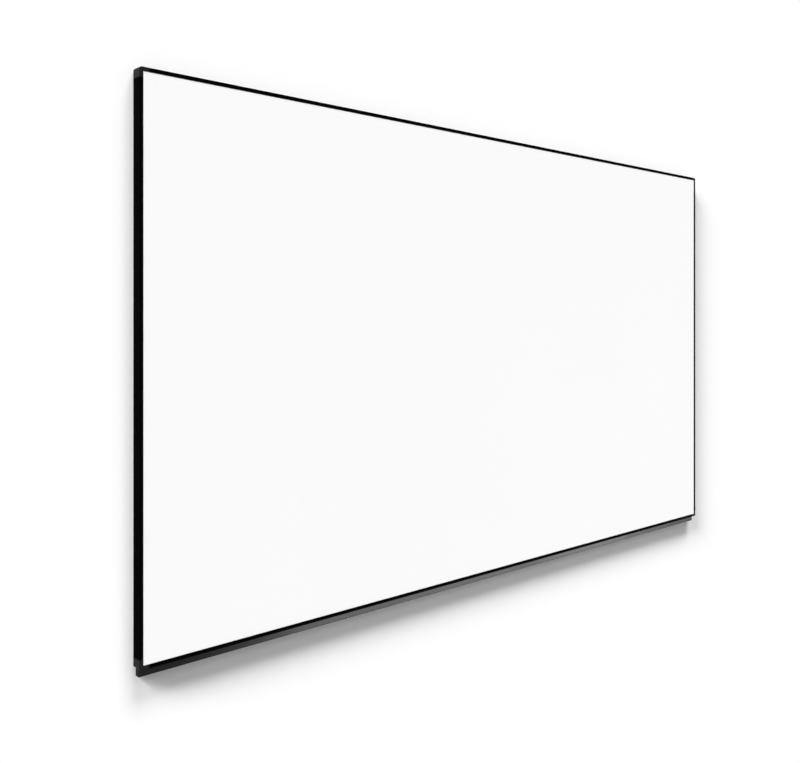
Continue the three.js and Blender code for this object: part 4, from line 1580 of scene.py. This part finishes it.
@dataclass
class WallFixings(Assembly):
    """The folded brackets on the wall and the rubber bumpers on the corner plates."""

    thickness: float = 2.0 * MM
    bend: float = 2.0 * MM
    lip_height: float = 10.0 * MM
    bracket_edge: float = 0.35 * MM
    hole_radius: float = 2.75 * MM
    hole_offset: float = 18.0 * MM
    hole_reach: float = 4.0 * MM
    hole_sides: int = 28
    bumper_edge: float = 1.2 * MM
    bumper_edge_steps: int = 5
    bumper_foot: float = 0.96
    bumper_foot_edge: float = 0.4 * MM
    bumper_waist: float = 0.97
    bumper_sides: int = 32
    dish_rim: float = 0.45
    dish_floor: float = 0.38
    dish_depth: float = 0.5 * MM

    def bracket(self, node: str, edge: Edge) -> None:
        """Makes one bracket: wall plate, shelf and upturned lip, folded from one strip.

        Args:
            node: The node's name.
            edge: The edge whose rail hooks on it.
        """
        low, high = self.picture.box_on_edge(node, edge)
        half = self.thickness / 2
        shelf = high.z - self.lip_height - half
        lip, plate = low.y + half, high.y - half
        draft = Draft()
        line = [(high.z, lip), (shelf, lip), (shelf, plate), (low.z, plate)]
        draft.run(folded_section(line, self.thickness, self.bend), low.x, high.x)
        draft.bevel(self.bracket_edge, least_turn=60.0)
        piece = draft.object(f"dressed_{node}")
        middle = (low.x + high.x) / 2
        hole_out = (shelf + low.z) / 2
        stations = (middle - self.hole_offset, middle + self.hole_offset)
        holes = [Matrix.Translation((x, high.y, hole_out)) for x in stations]
        drill(piece, self.hole_radius, self.hole_reach, holes, self.hole_sides)
        piece.data.transform(self.picture.edge_matrix(edge))
        self.settle(piece, Slot.BRACKET, BLACK_COAT, node)

    def bumper(self, corner: Corner) -> None:
        """Makes one rubber bumper, with rounded edges and a shallow dish.

        Args:
            corner: The corner whose plate carries it.
        """
        node = f"wall_bumper_{corner.label}"
        low, high, middle = node_box(node)
        radius, edge = (high.x - low.x) / 2, self.bumper_edge
        height = high.y - low.y
        waist, shoulder = radius * self.bumper_waist, height - edge
        profile = [
            (0.0, 0.0),
            (radius * self.bumper_foot, 0.0),
            (radius, self.bumper_foot_edge),
            (waist, shoulder),
        ]
        for i in range(1, self.bumper_edge_steps + 1):
            turn = math.pi / 2 * i / self.bumper_edge_steps
            profile.append((waist - edge * (1 - math.cos(turn)), shoulder + edge * math.sin(turn)))
        floor = height - self.dish_depth
        profile += [(radius * self.dish_rim, height), (radius * self.dish_floor, floor), (0.0, floor)]
        draft = Draft()
        draft.lathe(profile, self.bumper_sides, Matrix.Translation((middle.x, low.y, middle.z)))
        self.dress(draft, Slot.BUMPER, RUBBER, node)

    def build(self) -> None:
        """Makes all brackets and bumpers."""
        for hand in ("left", "centre", "right"):
            self.bracket(f"wall_bracket_top_{hand}", Edge.TOP)
        for hand in HANDS:
            self.bracket(f"wall_bracket_bottom_{hand}", Edge.BOTTOM)
        for corner in Corner:
            self.bumper(corner)


# Camera, light and stage


@dataclass
class Viewpoint:
    """The photograph's view, worked out from the picture's edges in its 800 by 763 frame."""

    picture: Picture
    image_width: float = 800.0
    image_height: float = 763.0
    focal_pixels: float = 909.0
    horizon_row: float = 319.8
    turn_degrees: float = 42.41
    left_edge_column: float = 143.45
    left_edge_height: float = 595.3
    eye_share: float = 0.5816
    sensor: float = 36.0
    clip_end: float = 60.0

    def build(self) -> None:
        """Adds the camera and makes it the scene's."""
        turn = math.radians(self.turn_degrees)
        right = Vector((math.cos(turn), -math.sin(turn), 0.0))
        ahead = Vector((math.sin(turn), math.cos(turn), 0.0))
        height = self.picture.top - self.picture.bottom
        distance = self.focal_pixels * height / self.left_edge_height
        sideways = (self.left_edge_column - self.image_width / 2) / self.focal_pixels * distance
        left_edge = Vector((-self.picture.half_width, self.picture.front, 0.0))
        eye = left_edge - right * sideways - ahead * distance
        eye.z = self.picture.bottom + self.eye_share * height
        data = bpy.data.cameras.new("photo_camera")
        data.sensor_fit = "HORIZONTAL"
        data.sensor_width = self.sensor
        data.lens = self.focal_pixels / self.image_width * self.sensor
        data.shift_y = (self.horizon_row - self.image_height / 2) / self.image_width
        data.clip_end = self.clip_end
        camera = add_object("photo_camera", data)
        camera.location = eye
        camera.rotation_euler = (math.pi / 2, 0.0, -turn)
        bpy.context.scene.camera = camera


class Glow(Enum):
    """What a lamp is there for: plain light, light that leaves no reflection, or reflection alone."""

    LIGHT = "light"
    FILL = "fill"
    SHEEN = "sheen"


@dataclass(frozen=True)
class Lamp:
    """A soft rectangular lamp that the camera doesn't see."""

    name: str
    place: Point3
    aim: Point3
    width: float
    height: float
    radiance: float
    glow: Glow = Glow.LIGHT

    def build(self) -> None:
        """Adds the lamp."""
        data = bpy.data.lights.new(self.name, "AREA")
        data.shape = "RECTANGLE"
        data.size = self.width
        data.size_y = self.height
        data.energy = self.radiance * math.pi * self.width * self.height
        lamp = add_object(self.name, data)
        lamp.location = self.place
        heading = Vector(self.aim) - Vector(self.place)
        lamp.rotation_euler = heading.to_track_quat("-Z", "Y").to_euler()
        lamp.visible_camera = False
        lamp.visible_diffuse = self.glow is not Glow.SHEEN
        lamp.visible_glossy = self.glow is not Glow.FILL


class Reach(Enum):
    """Whether a distant light falls on the wall alone or on everything but the wall."""

    WALL = "INCLUDE"
    OBJECT = "EXCLUDE"


@dataclass(frozen=True)
class Skylight:
    """A soft distant light, whose angles set how far and to which side its shadow falls."""

    name: str
    from_left: float
    off_wall: float
    share: float
    spread: float
    reach: Reach = Reach.WALL

    def build(self, wall: bpy.types.Object) -> None:
        """Adds the light.

        Args:
            wall: The wall that it falls on or leaves out.
        """
        up, aside = math.radians(90 - self.off_wall), math.radians(self.from_left)
        level = math.cos(aside)
        source = Vector((-math.sin(aside), -level * math.cos(up), level * math.sin(up)))
        data = bpy.data.lights.new(self.name, "SUN")
        data.energy = self.share * math.pi / -source.y
        data.angle = math.radians(self.spread)
        lamp = add_object(self.name, data)
        lamp.rotation_euler = (-source).to_track_quat("-Z", "Y").to_euler()
        receivers = bpy.data.collections.new(f"{self.name}_receivers")
        receivers.objects.link(wall)
        receivers.collection_objects[0].light_linking.link_state = self.reach.value
        lamp.light_linking.receiver_collection = receivers


SKYLIGHTS = (
    Skylight("far_left", 60.0, 15.5, 0.11, 12.0),
    Skylight("upper_left", 45.0, 18.5, 0.275, 14.0),
    Skylight("upper_middle", 0.0, 18.0, 0.19, 14.0),
    Skylight("upper_right", -15.0, 19.0, 0.135, 14.0),
    Skylight("high_right", -15.0, 40.0, 0.05, 16.0),
    Skylight("front_light", 28.0, 58.0, 0.725, 50.0, Reach.OBJECT),
)


def background_rays(kit: NodeKit) -> bpy.types.NodeSocket:
    """Marks the rays that show the background, straight or in gloss and glass.

    Args:
        kit: The tree's kit.

    Returns:
        The socket that is 1 for those rays.
    """
    path = kit.node("ShaderNodeLightPath").outputs
    either = kit.math("MAXIMUM", path["Is Camera Ray"], path["Is Glossy Ray"])
    return kit.math("MAXIMUM", either, path["Is Transmission Ray"])


@dataclass(frozen=True)
class StageFinish:
    """A pale matt surface that glows for the rays that show it and keeps the object's shadow.

    Its shade is how much light it reflects, its glow is the share of plain white in what is seen of
    it, and a one-sided surface shows only from the front and stops no light.
    """

    name: str
    shade: float
    glow: float
    one_sided: bool

    def build(self) -> bpy.types.Material:
        """Makes the material.

        Returns:
            The new material.
        """
        material = bpy.data.materials.new(self.name)
        material.use_nodes = True
        kit = NodeKit(material.node_tree)
        kit.tree.nodes.clear()
        matt = kit.node("ShaderNodeBsdfDiffuse", {"Color": (self.shade, self.shade, self.shade)})
        shine = kit.node("ShaderNodeEmission", {"Strength": 1.0})
        seen = kit.math("MULTIPLY", background_rays(kit), self.glow)
        last = kit.combine("ShaderNodeMixShader", (seen, matt.outputs[0], shine.outputs[0]))
        if self.one_sided:
            clear = kit.node("ShaderNodeBsdfTransparent")
            behind = kit.node("ShaderNodeNewGeometry").outputs["Backfacing"]
            camera_ray = kit.node("ShaderNodeLightPath").outputs["Is Camera Ray"]
            front = kit.math("SUBTRACT", camera_ray, behind, clamp=True)
            last = kit.combine("ShaderNodeMixShader", (front, clear.outputs[0], last.outputs[0]))
        kit.node("ShaderNodeOutputMaterial", {"Surface": last.outputs[0]})
        return material


@dataclass
class Studio:
    """The pale wall behind the screen, the pale floor, the soft light and the plain world."""

    picture: Picture
    wall_gap: float = 0.6 * MM
    wall_half_width: float = 9.0
    wall_top: float = 3.5
    floor: float = -2.75
    floor_depth: float = 9.0
    world_light: float = 0.275
    sheen_drop: float = 0.75

    def plane(self, finish: StageFinish, corners: Sequence[Point3]) -> bpy.types.Object:
        """Adds a flat stage piece with its finish.

        Args:
            finish: The finish, whose name it takes.
            corners: Its corners, in order.

        Returns:
            The stage piece.
        """
        data = bpy.data.meshes.new(finish.name)
        data.from_pydata(corners, [], [tuple(range(len(corners)))])
        data.materials.append(finish.build())
        piece = add_object(finish.name, data)
        piece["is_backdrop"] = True
        return piece

    def stage(self) -> bpy.types.Object:
        """Adds the wall and the floor.

        Returns:
            The wall.
        """
        w, y, d = self.wall_half_width, self.wall_gap, self.floor_depth
        low, high = self.floor, self.wall_top
        wall = self.plane(
            StageFinish("pale_wall", 0.985, 0.06, one_sided=True),
            [(-w, y, low), (w, y, low), (w, y, high), (-w, y, high)],
        )
        self.plane(
            StageFinish("pale_floor", 0.32, 0.8, one_sided=False),
            [(-w, -d, low), (w, -d, low), (w, d, low), (-w, d, low)],
        )
        return wall

    def lamps(self) -> tuple[Lamp, ...]:
        """Places the lamp whose reflection shades the lower trim and the three that light the back.

        Returns:
            The four lamps.
        """
        middle = (0.0, 0.0, self.picture.centre)
        level = self.picture.bottom - self.sheen_drop
        return (
            Lamp("trim_sheen", (3.15, -2.8, level), (3.15, 0.0, level), 4.1, 1.6, 7.6, Glow.SHEEN),
            Lamp("rear_fill", (0.0, 5.0, 0.4), middle, 7.0, 4.5, 2.0, Glow.FILL),
            Lamp("behind_left", (-3.4, 4.2, 1.6), middle, 2.4, 2.4, 1.5),
            Lamp("behind_right", (3.4, 4.2, 1.6), middle, 2.4, 2.4, 1.5),
        )

    def world(self) -> None:
        """Adds the world: white to the eye, and a plain low light on the object."""
        world = bpy.data.worlds.new("plain_world")
        world.use_nodes = True
        kit = NodeKit(world.node_tree)
        background = kit.tree.nodes["Background"]
        kit.feed((1.0, 1.0, 1.0), background.inputs["Color"])
        levels = {"Value": background_rays(kit), "To Min": self.world_light, "To Max": 1.0}
        kit.feed(kit.node("ShaderNodeMapRange", levels).outputs[0], background.inputs["Strength"])
        bpy.context.scene.world = world

    def build(self) -> None:
        """Adds the stage, the lights and the world."""
        wall = self.stage()
        for skylight in SKYLIGHTS:
            skylight.build(wall)
        for lamp in self.lamps():
            lamp.build()
        self.world()


def main() -> Sequence[Sequence[float]]:
    """Loads the frame, builds each sub-assembly in order and sets the view.
    """
    logging.basicConfig(level=logging.INFO, format="%(name)s: %(message)s")
    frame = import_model()
    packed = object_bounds()
    picture = Picture.from_frame()
    finishes = Finishes()
    Rails(finishes).dress(frame["nodes"])
    Bezel(picture, finishes).build()
    rows = SpringRows(picture, finishes)
    rows.build()
    PictureSheet(picture, finishes, rows).build()
    fasteners = Fasteners(picture, finishes)
    fasteners.build()
    LowerTrim(picture, finishes, fasteners).build()
    CentreSupport(picture, finishes).build()
    WallFixings(picture, finishes).build()
    Viewpoint(picture).build()
    Studio(picture).build()
    bpy.context.scene.view_settings.view_transform = "Standard"
    return packed


if __name__ == "__main__":
    packed_box = main()
